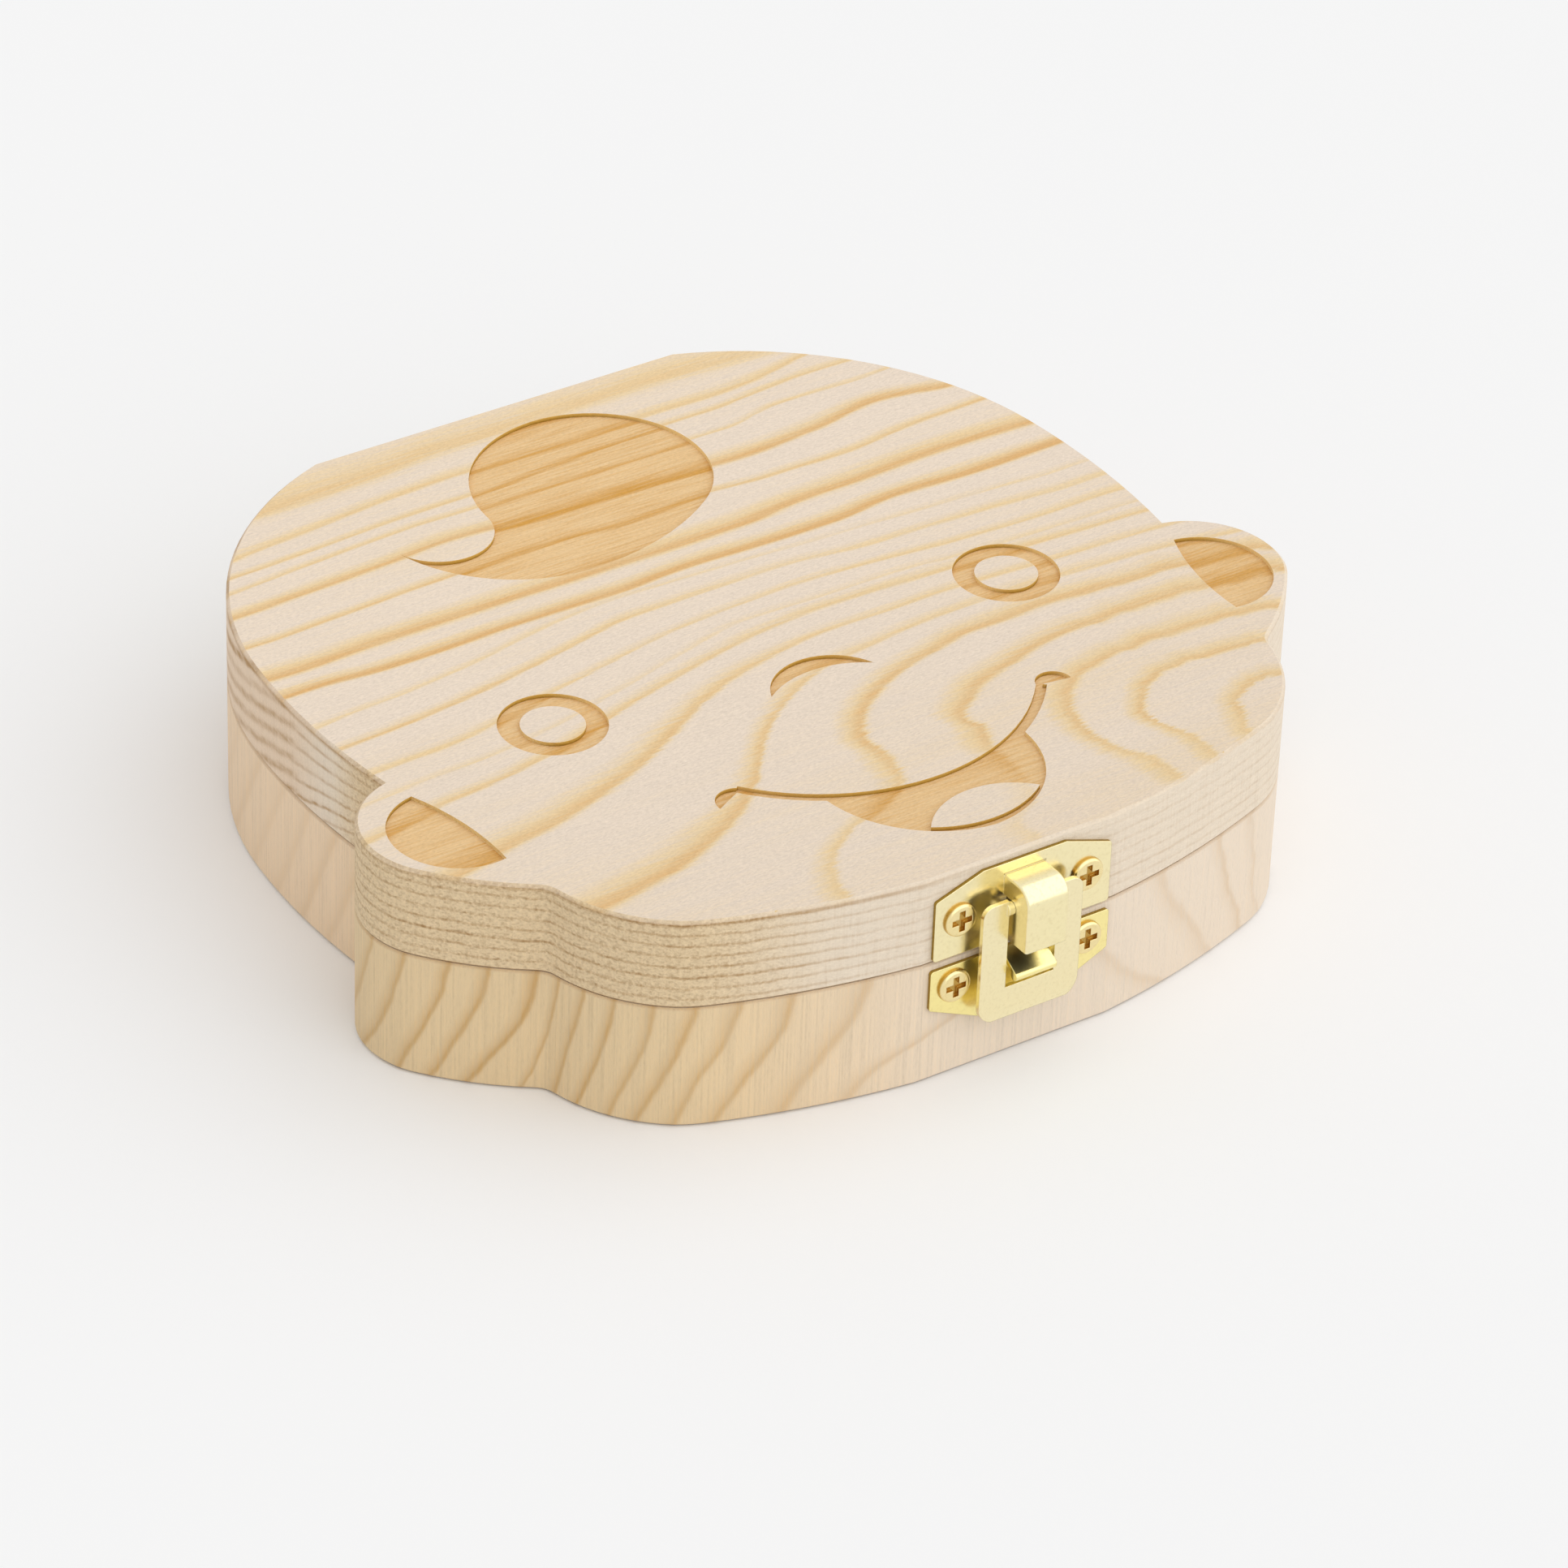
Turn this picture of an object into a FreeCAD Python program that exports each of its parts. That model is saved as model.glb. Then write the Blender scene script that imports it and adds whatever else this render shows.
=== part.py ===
import FreeCAD, Part
import math
import os

V = FreeCAD.Vector

# The box: flat crown at the back (+Y), chin with the latch at the front (-Y), origin under its middle.
box_width = 122.0
box_depth = 108.5
box_height = 27.0
lid_thickness = 11.2
seam_gap = 0.15
edge_break = 0.35
seam_break = 0.25

# Half outline from the end of the crown flat to the chin flat, as shares of half width and depth.
# Each arc runs from the last point through the first of its pair to the second.
crown_end_shares = (0.410, 0.5)
outline_arc_shares = (
    ((0.7224, 0.3766), (0.8748, 0.1793)),
    ((0.8887, 0.0609), (0.8712, -0.0697)),
    ((1.0, -0.1609), (0.9749, -0.2144)),
    ((0.8910, -0.2685), (0.7905, -0.3131)),
    ((0.7403, -0.3842), (0.6318, -0.4412)),
    ((0.4293, -0.4772), (0.2106, -0.5)),
)
# The corners between those arcs: the first two stay as they are, and the three round the ear are rounded.
ear_round = 20.0
notch_round = 2.75
cheek_round = 20.0
corner_rounds = (0, 0, ear_round, notch_round, cheek_round)
smooth_deg = 0.5

# The face engraved in the lid, placed by the same shares.
engrave_depth = 0.5
eye_centre_shares = (0.506, -0.068)
eye_radius = 6.25
pupil_radius = 3.7
nose_tip_shares = (0.1134, -0.1408)
nose_top_share = -0.0971
nose_under_share = -0.1201
smile_tip_shares = (0.3380, -0.2645)
smile_top_share = -0.3496
smile_under_share = -0.3620
smile_end = 1.25
mouth_end_shares = (0.2187, -0.3275)
mouth_top_share = -0.3555
mouth_low_share = -0.4526
mouth_left_shares = (-0.1735, -0.3960)
mouth_right_shares = (0.1790, -0.3979)
tongue_left_shares = (-0.1069, -0.4234)
tongue_right_shares = (0.1409, -0.4171)
tongue_top_shares = (0.0146, -0.3870)
tongue_low_shares = (0.0162, -0.4415)
# Each dimple runs from its tip over its outer side to its root on the smile and back along its inner side.
left_dimple_shares = ((-0.3970, -0.2862), (-0.3640, -0.2603), (-0.3270, -0.2660), (-0.3633, -0.2762))
right_dimple_shares = ((0.3980, -0.2700), (0.3750, -0.2490), (0.3270, -0.2640), (0.3600, -0.2672))
ear_top_shares = (0.8489, -0.1062)
ear_low_shares = (0.8068, -0.2493)
ear_outer_shares = (0.9558, -0.1627)
ear_inner_shares = (0.8132, -0.1746)
curl_start_shares = (-0.4406, 0.2931)
curl_arc_shares = (
    ((-0.3677, 0.2174), (-0.1458, 0.1645)),
    ((0.0162, 0.1787), (0.1620, 0.2192)),
    ((0.2495, 0.3642), (0.0324, 0.4540)),
    ((-0.1507, 0.4107), (-0.2284, 0.3131)),
    ((-0.3386, 0.2511), (-0.4406, 0.2931)),
)

# Wells in the base: ten for the upper teeth, ten for the lower teeth, two long ones for keepsakes.
well_depth = 9.0
tooth_well_radius = 4.5
teeth_per_jaw = 10
jaw_half_width_share = 0.66
jaw_half_depth_share = 0.36
jaw_span_deg = 150.0
keepsake_length = 40.0
keepsake_width = 15.0
keepsake_spacing = 21.0

# Latch: stamped sheet on the chin, sizes seen from the front unless said otherwise.
latch_sheet = 0.45
upper_plate_width = 23.5
upper_plate_low_gap = 0.25
upper_plate_top_gap = 1.0
upper_plate_top_width = 11.1
upper_plate_chamfer = 2.15
lower_plate_width = 23.9
lower_plate_top_gap = 0.85
lower_plate_side = 5.1
lower_plate_height = 8.1
lower_plate_low_width = 10.8
plate_corner = 0.4
upper_screw_height = 4.95
lower_screw_drop = 3.5
upper_screw_spacing = 17.0
lower_screw_spacing = 17.7
# The claw: a hood with side walls, notched for the lever's bar.
claw_width = 5.5
claw_reach = 4.7
claw_bend = 2.2
claw_edge = 0.3
claw_top_gap = 2.4
claw_low_gap = 0.9
# The lever: turns on its bar, held off the plates.
lever_width = 13.3
lever_sheet = 0.6
lever_off_plate = 1.65
bar_radius = 0.8
bar_play = 0.05
bar_height = 5.4
lever_top = 1.1
lever_window = 6.5
lever_window_low = 10.3
lever_straight = 12.7
lever_flare_radius = 9.0
lever_flare_deg = 10.0
lever_top_corner = 1.4
lever_low_corner = 2.2
# The tongue: slopes from the lower plate through the lever's window to a rolled nose.
tongue_width = 5.4
nose_radius = 0.55
nose_reach = 2.7
nose_drop = 2.2

# Hinges: two butt hinges on the crown flat, three knuckles each.
hinge_place_share = 0.6
hinge_width = 16.0
leaf_height = 8.6
leaf_sheet = 0.7
leaf_corner = 1.2
knuckle_radius = 1.6
knuckle_gap = 0.15
leaf_gap = 0.3
pin_radius = 0.75
pin_play = 0.05
pin_head = 0.5
pin_head_radius = 1.15
hinge_screw_spacing = 9.0
hinge_screw_height = 5.0

# Screws: pan heads on the latch, flush countersunk heads on the hinges.
pan_head_radius = 2.05
pan_head_height = 0.55
pan_head_round = 0.4
pan_shank_radius = 0.9
pan_shank = 6.5
flush_head_radius = 1.45
flush_shank_radius = 0.7
flush_shank = 5.0
point_length = 1.5
pan_recess_width = 0.75
pan_recess_length = 2.6
pan_recess_depth = 0.4
flush_recess_width = 0.45
flush_recess_length = 1.7
flush_recess_depth = 0.35
screw_play = 0.05
hole_play = 0.15

half_width = box_width / 2
front = -box_depth / 2
back = box_depth / 2
base_top = box_height - lid_thickness - seam_gap
lid_low = box_height - lid_thickness
seam = (base_top + lid_low) / 2
plate_face = front - latch_sheet
axis_y = plate_face - lever_off_plate
axis_z = lid_low + bar_height
hinge_y = back + knuckle_radius + pin_play
hinge_x = crown_end_shares[0] * half_width * hinge_place_share


def face_point(shares, side=1):
    return V(side * shares[0] * half_width, shares[1] * box_depth, 0)


def arc(start, middle, end):
    return Part.Arc(start, middle, end).toShape()


def line(start, end):
    return Part.makeLine(start, end)


def prism(edges, height):
    return Part.Face(Part.Wire(Part.__sortEdges__(edges))).extrude(height)


def moved(shape, x, y, z):
    shape = shape.copy()
    shape.translate(V(x, y, z))
    return shape


def reached(edge, length):
    # The point that lies this far along the edge.
    share = length / edge.Length
    return edge.valueAt(edge.FirstParameter + share * (edge.LastParameter - edge.FirstParameter))


def corner_turn(before, after):
    return before.tangentAt(before.LastParameter).getAngle(after.tangentAt(after.FirstParameter))


def side_arcs():
    # Three points of each arc of the right side, crown to chin, with the rounded corners between them.
    edges = []
    last = crown_end_shares
    for middle, end in outline_arc_shares:
        edges.append(arc(face_point(last), face_point(middle), face_point(end)))
        last = end
    turns = [corner_turn(before, after) for before, after in zip(edges, edges[1:])]
    cuts = [0]
    for turn, size in zip(turns, corner_rounds):
        cuts.append(size * math.tan(turn / 2) if turn > math.radians(smooth_deg) else 0)
    cuts.append(0)
    arcs = []
    for number, edge in enumerate(edges):
        start = cuts[number]
        end = edge.Length - cuts[number + 1]
        arcs.append([reached(edge, start), reached(edge, (start + end) / 2), reached(edge, end)])
        if cuts[number + 1] > 0:
            after = reached(edges[number + 1], cuts[number + 1])
            chord = after - arcs[-1][2]
            centre = arcs[-1][2] + chord * (1 / 2)
            towards = reached(edge, edge.Length) - centre
            swell = chord.Length / 2 * math.tan(turns[number] / 4)
            arcs.append([arcs[-1][2], centre + towards * (swell / towards.Length), after])
    return arcs


def outline_edges():
    # Clockwise seen from above: crown flat, right side, chin flat, left side.
    arcs = side_arcs()
    mirror = [[V(-point.x, point.y, 0) for point in reversed(points)] for points in reversed(arcs)]
    right = [arc(*points) for points in arcs]
    left = [arc(*points) for points in mirror]
    crown = line(mirror[-1][2], arcs[0][0])
    chin = line(arcs[-1][2], mirror[0][0])
    return [crown] + right + [chin] + left


def inward(edge, place):
    # The unit normal that points into the box, at a share of the edge's length.
    along = edge.FirstParameter + place * (edge.LastParameter - edge.FirstParameter)
    tangent = edge.tangentAt(along)
    return edge.valueAt(along), V(tangent.y, -tangent.x, 0)


def outline(level, inset):
    # The outline moved inward: each corner slides along the line between its two walls.
    edges = outline_edges()
    starts = []
    for before, after in zip(edges[-1:] + edges[:-1], edges):
        corner, normal = inward(after, 0)
        last_normal = inward(before, 1)[1]
        slide = inset / (1 + normal.dot(last_normal))
        starts.append(corner + (normal + last_normal) * slide)
    ring = []
    for edge, start, end in zip(edges, starts, starts[1:] + starts[:1]):
        point, normal = inward(edge, 1 / 2)
        straight = edge.Curve.TypeId == "Part::GeomLine"
        ring.append(line(start, end) if straight else arc(start, point + normal * inset, end))
    return moved(Part.Wire(ring), 0, 0, level)


def board(low, high, low_break, high_break):
    # A slab with straight walls whose lower and upper rims are broken by small slopes.
    wall = outline(low + low_break, 0)
    brow = outline(high - high_break, 0)
    solid = Part.Face(wall).extrude(V(0, 0, high - high_break - low - low_break))
    solid = solid.fuse(Part.makeLoft([outline(low, low_break), wall], True, True))
    return solid.fuse(Part.makeLoft([brow, outline(high, high_break)], True, True)).removeSplitter()


def lens(tip, over, end, under):
    return [arc(tip, over, end), arc(end, under, tip)]


def engraving():
    down = V(0, 0, -2 * engrave_depth)
    tools = []
    for side in (1, -1):
        eye = face_point(eye_centre_shares, side)
        ring = Part.makeCylinder(eye_radius, 2 * engrave_depth, eye, V(0, 0, -1))
        tools.append(ring.cut(Part.makeCylinder(pupil_radius, 2 * engrave_depth, eye, V(0, 0, -1))))
        ear = lens(face_point(ear_top_shares, side), face_point(ear_outer_shares, side),
                   face_point(ear_low_shares, side), face_point(ear_inner_shares, side))
        tools.append(prism(ear, down))
    tools.append(prism(mirrored_lens(nose_tip_shares, nose_top_share, nose_under_share), down))
    tools.append(prism(smile(), down))
    for dimple in (left_dimple_shares, right_dimple_shares):
        tools.append(prism(lens(*[face_point(shares) for shares in dimple]), down))
    mouth = prism(mouth_edges(), down)
    tongue = lens(face_point(tongue_left_shares), face_point(tongue_top_shares),
                  face_point(tongue_right_shares), face_point(tongue_low_shares))
    tools.append(mouth.cut(prism(tongue, down)))
    last = face_point(curl_start_shares)
    curl = []
    for middle, end in curl_arc_shares:
        curl.append(arc(last, face_point(middle), face_point(end)))
        last = face_point(end)
    tools.append(prism(curl, down))
    return [moved(tool, 0, 0, box_height + engrave_depth) for tool in tools]


def mirrored_lens(tip_shares, over_share, under_share):
    left = face_point(tip_shares, -1)
    right = face_point(tip_shares)
    return lens(left, V(0, over_share * box_depth, 0), right, V(0, under_share * box_depth, 0))


def mouth_edges():
    left = face_point(mouth_end_shares, -1)
    right = face_point(mouth_end_shares)
    low = V(0, mouth_low_share * box_depth, 0)
    return [
        arc(left, V(0, mouth_top_share * box_depth, 0), right),
        arc(right, face_point(mouth_right_shares), low),
        arc(low, face_point(mouth_left_shares), left),
    ]


def smile():
    # A curved band, widest in the middle, square at its two ends.
    tip = face_point(smile_tip_shares)
    sag = tip.y - smile_top_share * box_depth
    radius = (tip.x * tip.x + sag * sag) / (2 * sag)
    out = V(tip.x / radius, (sag - radius) / radius, 0) * (smile_end / 2)
    upper = tip - out
    lower = tip + out
    upper_left = V(-upper.x, upper.y, 0)
    lower_left = V(-lower.x, lower.y, 0)
    return [
        arc(upper_left, V(0, smile_top_share * box_depth, 0), upper),
        line(upper, lower),
        arc(lower, V(0, smile_under_share * box_depth, 0), lower_left),
        line(lower_left, upper_left),
    ]


def well_tools():
    floor = base_top - well_depth
    tools = []
    for jaw in (90, 270):
        for tooth in range(teeth_per_jaw):
            turn = math.radians(jaw - jaw_span_deg / 2 + jaw_span_deg * tooth / (teeth_per_jaw - 1))
            x = jaw_half_width_share * half_width * math.cos(turn)
            y = jaw_half_depth_share * box_depth * math.sin(turn)
            tools.append(Part.makeCylinder(tooth_well_radius, 2 * well_depth, V(x, y, floor)))
    end = keepsake_width / 2
    run = keepsake_length / 2 - end
    for row in (1, -1):
        y = row * keepsake_spacing / 2
        edges = [
            line(V(-run, y + end, floor), V(run, y + end, floor)),
            arc(V(run, y + end, floor), V(run + end, y, floor), V(run, y - end, floor)),
            line(V(run, y - end, floor), V(-run, y - end, floor)),
            arc(V(-run, y - end, floor), V(-run - end, y, floor), V(-run, y + end, floor)),
        ]
        tools.append(prism(edges, V(0, 0, 2 * well_depth)))
    return tools


def revolved(profile):
    edges = [line(V(*a), V(*b)) for a, b in zip(profile, profile[1:] + profile[:1])]
    return Part.Face(Part.Wire(edges)).revolve(V(0, 0, 0), V(0, 0, 1), 360)


def aimed(shape, x, y, z, facing):
    # A screw drawn standing on its point is laid down so that its head looks along +Y or -Y.
    turned = shape.copy()
    turned.rotate(V(0, 0, 0), V(1, 0, 0), -90 * facing)
    return moved(turned, x, y, z)


def cross_recess(top, length, width, depth):
    bar = Part.makeBox(length, width, 2 * depth)
    bar = moved(bar, -length / 2, -width / 2, top - depth)
    other = bar.copy()
    other.rotate(V(0, 0, 0), V(0, 0, 1), 90)
    return bar.fuse(other)


def pan_screw():
    flat = pan_head_radius - pan_head_round
    rise = pan_head_height - pan_head_round
    turn = pan_head_round / math.sqrt(2)
    rim = [
        line(V(0, 0, 0), V(pan_head_radius, 0, 0)),
        line(V(pan_head_radius, 0, 0), V(pan_head_radius, 0, rise)),
        arc(V(pan_head_radius, 0, rise), V(flat + turn, 0, rise + turn), V(flat, 0, pan_head_height)),
        line(V(flat, 0, pan_head_height), V(0, 0, pan_head_height)),
        line(V(0, 0, pan_head_height), V(0, 0, 0)),
    ]
    head = Part.Face(Part.Wire(rim)).revolve(V(0, 0, 0), V(0, 0, 1), 360)
    screw = head.fuse(shank(pan_shank_radius, pan_shank, 0))
    recess = cross_recess(pan_head_height, pan_recess_length, pan_recess_width, pan_recess_depth)
    return screw.cut(recess).removeSplitter()


def shank(radius, length, play):
    return revolved([
        (0, 0, 0), (radius + play, 0, 0), (radius + play, 0, point_length - length),
        (0, 0, -length - play),
    ])


def flush_screw():
    head = Part.makeCone(flush_shank_radius, flush_head_radius, leaf_sheet, V(0, 0, -leaf_sheet))
    screw = head.fuse(shank(flush_shank_radius, flush_shank + leaf_sheet, 0))
    recess = cross_recess(0, flush_recess_length, flush_recess_width, flush_recess_depth)
    return screw.cut(recess).removeSplitter()


def flush_hole():
    widest = flush_head_radius + screw_play
    return Part.makeCone(flush_shank_radius + screw_play, widest, leaf_sheet, V(0, 0, -leaf_sheet))


def front_plate(points):
    # A flat plate seen from the front, its outer face on plate_face.
    ring = [V(x, plate_face, z) for x, z in points]
    edges = [line(a, b) for a, b in zip(ring, ring[1:] + ring[:1])]
    solid = prism(edges, V(0, latch_sheet, 0))
    corners = [e for e in solid.Edges if e.BoundBox.YLength > latch_sheet / 2]
    return solid.makeFillet(plate_corner, corners)


def side_profile(edges, width):
    # A profile drawn in the side view at x = 0, spread evenly to both sides.
    return moved(prism(edges, V(width, 0, 0)), -width / 2, 0, 0)


def side_point(reach, z):
    return V(0, plate_face - reach, z)


def upper_plate():
    low = lid_low + upper_plate_low_gap
    top = box_height - upper_plate_top_gap
    side = upper_plate_width / 2
    flat = upper_plate_top_width / 2
    plate = front_plate([(-side, low), (side, low), (side, top - upper_plate_chamfer), (flat, top),
                         (-flat, top), (-side, top - upper_plate_chamfer)])
    plate = plate.fuse(claw())
    for x, z in upper_screw_places():
        plate = plate.cut(Part.makeCylinder(pan_shank_radius + hole_play, 2 * latch_sheet,
                                            V(x, plate_face - latch_sheet / 2, z), V(0, 1, 0)))
    return plate.removeSplitter()


def claw():
    low = lid_low + claw_low_gap
    top = box_height - claw_top_gap
    inner = claw_bend - latch_sheet
    knee = claw_reach - claw_bend
    turn = math.radians(45)
    bend_out = side_point(knee + claw_bend * math.sin(turn), top - claw_bend * (1 - math.cos(turn)))
    shell = [
        line(side_point(-latch_sheet / 2, top), side_point(knee, top)),
        arc(side_point(knee, top), bend_out, side_point(claw_reach, top - claw_bend)),
        line(side_point(claw_reach, top - claw_bend), side_point(claw_reach, low)),
        line(side_point(claw_reach, low), side_point(-latch_sheet / 2, low)),
        line(side_point(-latch_sheet / 2, low), side_point(-latch_sheet / 2, top)),
    ]
    bend_in = side_point(knee + inner * math.sin(turn), top - claw_bend + inner * math.cos(turn))
    hollow = [
        line(side_point(0, top - latch_sheet), side_point(knee, top - latch_sheet)),
        arc(side_point(knee, top - latch_sheet), bend_in,
            side_point(claw_reach - latch_sheet, top - claw_bend)),
        line(side_point(claw_reach - latch_sheet, top - claw_bend),
             side_point(claw_reach - latch_sheet, low - latch_sheet)),
        line(side_point(claw_reach - latch_sheet, low - latch_sheet), side_point(0, low - latch_sheet)),
        line(side_point(0, low - latch_sheet), side_point(0, top - latch_sheet)),
    ]
    hood = side_profile(shell, claw_width)
    rims = [e for e in hood.Edges if e.BoundBox.XLength < latch_sheet and e.BoundBox.ZMax > low + latch_sheet
            and e.BoundBox.YMin < plate_face - latch_sheet]
    hood = hood.makeFillet(min(claw_edge, latch_sheet), rims)
    hood = hood.cut(side_profile(hollow, claw_width - 2 * latch_sheet))
    slot = bar_radius + bar_play
    notch = Part.makeCylinder(slot, 2 * claw_width, V(-claw_width, axis_y, axis_z), V(1, 0, 0))
    opening = Part.makeBox(2 * claw_width, lever_off_plate, 2 * slot)
    notch = notch.fuse(moved(opening, -claw_width, axis_y, axis_z - slot))
    return hood.cut(notch)


def lever():
    half = lever_sheet / 2
    top = axis_z + lever_top
    knee = axis_z - lever_straight
    swing = math.radians(lever_flare_deg)
    pivot = lever_off_plate + lever_flare_radius

    def flare(radius, turn):
        return side_point(pivot - radius * math.cos(turn), knee - radius * math.sin(turn))

    near = lever_flare_radius + half
    far = lever_flare_radius - half
    profile = [
        line(side_point(lever_off_plate - half, top), side_point(lever_off_plate + half, top)),
        line(side_point(lever_off_plate + half, top), flare(far, 0)),
        arc(flare(far, 0), flare(far, swing / 2), flare(far, swing)),
        line(flare(far, swing), flare(near, swing)),
        arc(flare(near, swing), flare(near, swing / 2), flare(near, 0)),
        line(flare(near, 0), side_point(lever_off_plate - half, top)),
    ]
    sheet = side_profile(profile, lever_width)
    low = flare(near, swing).z
    reach = 2 * pivot
    outline = Part.makeBox(lever_width, reach, top - low, V(-lever_width / 2, plate_face - reach, low))
    tall = [e for e in outline.Edges if e.BoundBox.YLength > reach / 2]
    upper = [e for e in tall if e.BoundBox.ZMin > axis_z]
    outline = outline.makeFillet(lever_top_corner, upper)
    tall = [e for e in outline.Edges if e.BoundBox.YLength > reach / 2 and e.BoundBox.ZMax < knee]
    outline = outline.makeFillet(lever_low_corner, tall)
    window = Part.makeBox(lever_window, reach, lever_window_low + 2 * lever_top,
                          V(-lever_window / 2, plate_face - reach, axis_z - lever_window_low))
    bar = Part.makeCylinder(bar_radius, lever_window + lever_sheet,
                            V(-(lever_window + lever_sheet) / 2, axis_y, axis_z), V(1, 0, 0))
    return sheet.common(outline).cut(window).fuse(bar).removeSplitter()


def lower_plate():
    top = base_top - lower_plate_top_gap
    side = lower_plate_width / 2
    flat = lower_plate_low_width / 2
    plate = front_plate([(-side, top), (side, top), (side, top - lower_plate_side),
                         (flat, top - lower_plate_height), (-flat, top - lower_plate_height),
                         (-side, top - lower_plate_side)])
    nose_z = top - nose_drop
    slope = math.atan2(nose_drop, nose_reach)
    lean = slope - math.asin(nose_radius / math.hypot(nose_drop, nose_reach))
    over = side_point(nose_reach + nose_radius * math.sin(lean), nose_z + nose_radius * math.cos(lean))
    under = side_point(nose_reach, nose_z)
    root = latch_sheet / math.cos(slope)
    strip = side_profile([
        line(side_point(-latch_sheet / 2, top), side_point(0, top)),
        line(side_point(0, top), over),
        line(over, under),
        line(under, side_point(0, top - root)),
        line(side_point(0, top - root), side_point(-latch_sheet / 2, top - root)),
        line(side_point(-latch_sheet / 2, top - root), side_point(-latch_sheet / 2, top)),
    ], tongue_width)
    nose = Part.makeCylinder(nose_radius, tongue_width,
                             V(-tongue_width / 2, under.y, under.z), V(1, 0, 0))
    plate = plate.fuse(strip).fuse(nose)
    for x, z in lower_screw_places():
        plate = plate.cut(Part.makeCylinder(pan_shank_radius + hole_play, 2 * latch_sheet,
                                            V(x, plate_face - latch_sheet / 2, z), V(0, 1, 0)))
    return plate.removeSplitter()


def upper_screw_places():
    return [(side * upper_screw_spacing / 2, lid_low + upper_screw_height) for side in (-1, 1)]


def lower_screw_places():
    return [(side * lower_screw_spacing / 2, base_top - lower_screw_drop) for side in (-1, 1)]


def hinge_screw_places(x, upward):
    z = seam + upward * hinge_screw_height
    return [(x + side * hinge_screw_spacing / 2, z) for side in (-1, 1)]


def knuckle_spans():
    third = hinge_width / 3
    left = -hinge_width / 2
    return [(left + third * i, left + third * (i + 1) - knuckle_gap) for i in range(3)]


def leaf(x, upward):
    # upward is 1 for the leaf on the lid and -1 for the leaf on the base.
    spans = knuckle_spans()
    own = [spans[1]] if upward > 0 else [spans[0], spans[2]]
    start = knuckle_radius + leaf_gap
    plate = Part.makeBox(hinge_width, leaf_sheet, leaf_height - start,
                         V(x - hinge_width / 2, back, seam + (start if upward > 0 else -leaf_height)))
    edge = seam + upward * leaf_height
    corners = [e for e in plate.Edges
               if e.BoundBox.YLength > leaf_sheet / 2 and abs(e.BoundBox.ZMin - edge) < leaf_sheet]
    plate = plate.makeFillet(leaf_corner, corners)
    for start_x, end_x in own:
        tab = Part.makeBox(end_x - start_x, leaf_sheet, start + leaf_corner,
                           V(x + start_x, back, seam if upward > 0 else seam - start - leaf_corner))
        barrel = Part.makeCylinder(knuckle_radius, end_x - start_x,
                                   V(x + start_x, hinge_y, seam), V(1, 0, 0))
        plate = plate.fuse(tab).fuse(barrel)
    bore = Part.makeCylinder(pin_radius + pin_play, 2 * hinge_width,
                             V(x - hinge_width, hinge_y, seam), V(1, 0, 0))
    plate = plate.cut(bore)
    for hole_x, hole_z in hinge_screw_places(x, upward):
        plate = plate.cut(aimed(flush_hole(), hole_x, back + leaf_sheet, hole_z, 1))
    return plate.removeSplitter()


def pin(x):
    spans = knuckle_spans()
    left = x + spans[0][0] - pin_play
    right = x + spans[2][1] + pin_play
    rod = Part.makeCylinder(pin_radius, right - left, V(left, hinge_y, seam), V(1, 0, 0))
    for end, way in ((left, -1), (right, 1)):
        cap = Part.makeCone(pin_head_radius, pin_radius, pin_head, V(end, hinge_y, seam), V(way, 0, 0))
        rod = rod.fuse(cap)
    return rod.removeSplitter()


def pilot(board_solid, places, radius, length, y, facing):
    for x, z in places:
        board_solid = board_solid.cut(aimed(shank(radius, length, screw_play), x, y, z, facing))
    return board_solid


pieces = {}
base = board(0, base_top, edge_break, seam_break)
for tool in well_tools():
    base = base.cut(tool)
base = pilot(base, lower_screw_places(), pan_shank_radius, pan_shank, plate_face, -1)
lid = board(lid_low, box_height, seam_break, edge_break)
for tool in engraving():
    lid = lid.cut(tool)
lid = pilot(lid, upper_screw_places(), pan_shank_radius, pan_shank, plate_face, -1)

pieces["latch_upper_plate"] = upper_plate()
pieces["latch_lever"] = lever()
pieces["latch_lower_plate"] = lower_plate()
for number, (x, z) in enumerate(upper_screw_places() + lower_screw_places(), 1):
    pieces["latch_screw_%d" % number] = aimed(pan_screw(), x, plate_face, z, -1)

number = 0
for name, x in (("left", -hinge_x), ("right", hinge_x)):
    for part, upward in (("base", -1), ("lid", 1)):
        pieces["hinge_%s_%s_leaf" % (name, part)] = leaf(x, upward)
        places = hinge_screw_places(x, upward)
        for place in places:
            number += 1
            screw = aimed(flush_screw(), place[0], back + leaf_sheet, place[1], 1)
            pieces["hinge_screw_%d" % number] = screw
        holes = (places, flush_shank_radius, flush_shank + leaf_sheet, back + leaf_sheet, 1)
        if upward > 0:
            lid = pilot(lid, *holes)
        else:
            base = pilot(base, *holes)
    pieces["hinge_%s_pin" % name] = pin(x)
pieces["base_board"] = base
pieces["lid_board"] = lid

os.makedirs("parts", exist_ok=True)
for name, shape in pieces.items():
    solid = shape.Solids[0] if len(shape.Solids) == 1 else shape
    solid.exportStep("parts/%s.step" % name)
    print(name, len(shape.Solids), shape.isValid(), round(shape.Volume))
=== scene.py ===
# %% [markdown]
# A tooth box in the shape of a face.
# The box is two pine boards of one outline: a base milled with wells for milk teeth, and a lid with a
# face engraved in it. A stamped brass latch holds them at the chin and two butt hinges at the crown.
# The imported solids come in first. They already have the right shapes, so this lesson is mostly about
# what makes them look like wood and brass.

# %% The frame
import math
import bpy
from mathutils import Matrix, Vector


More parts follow.
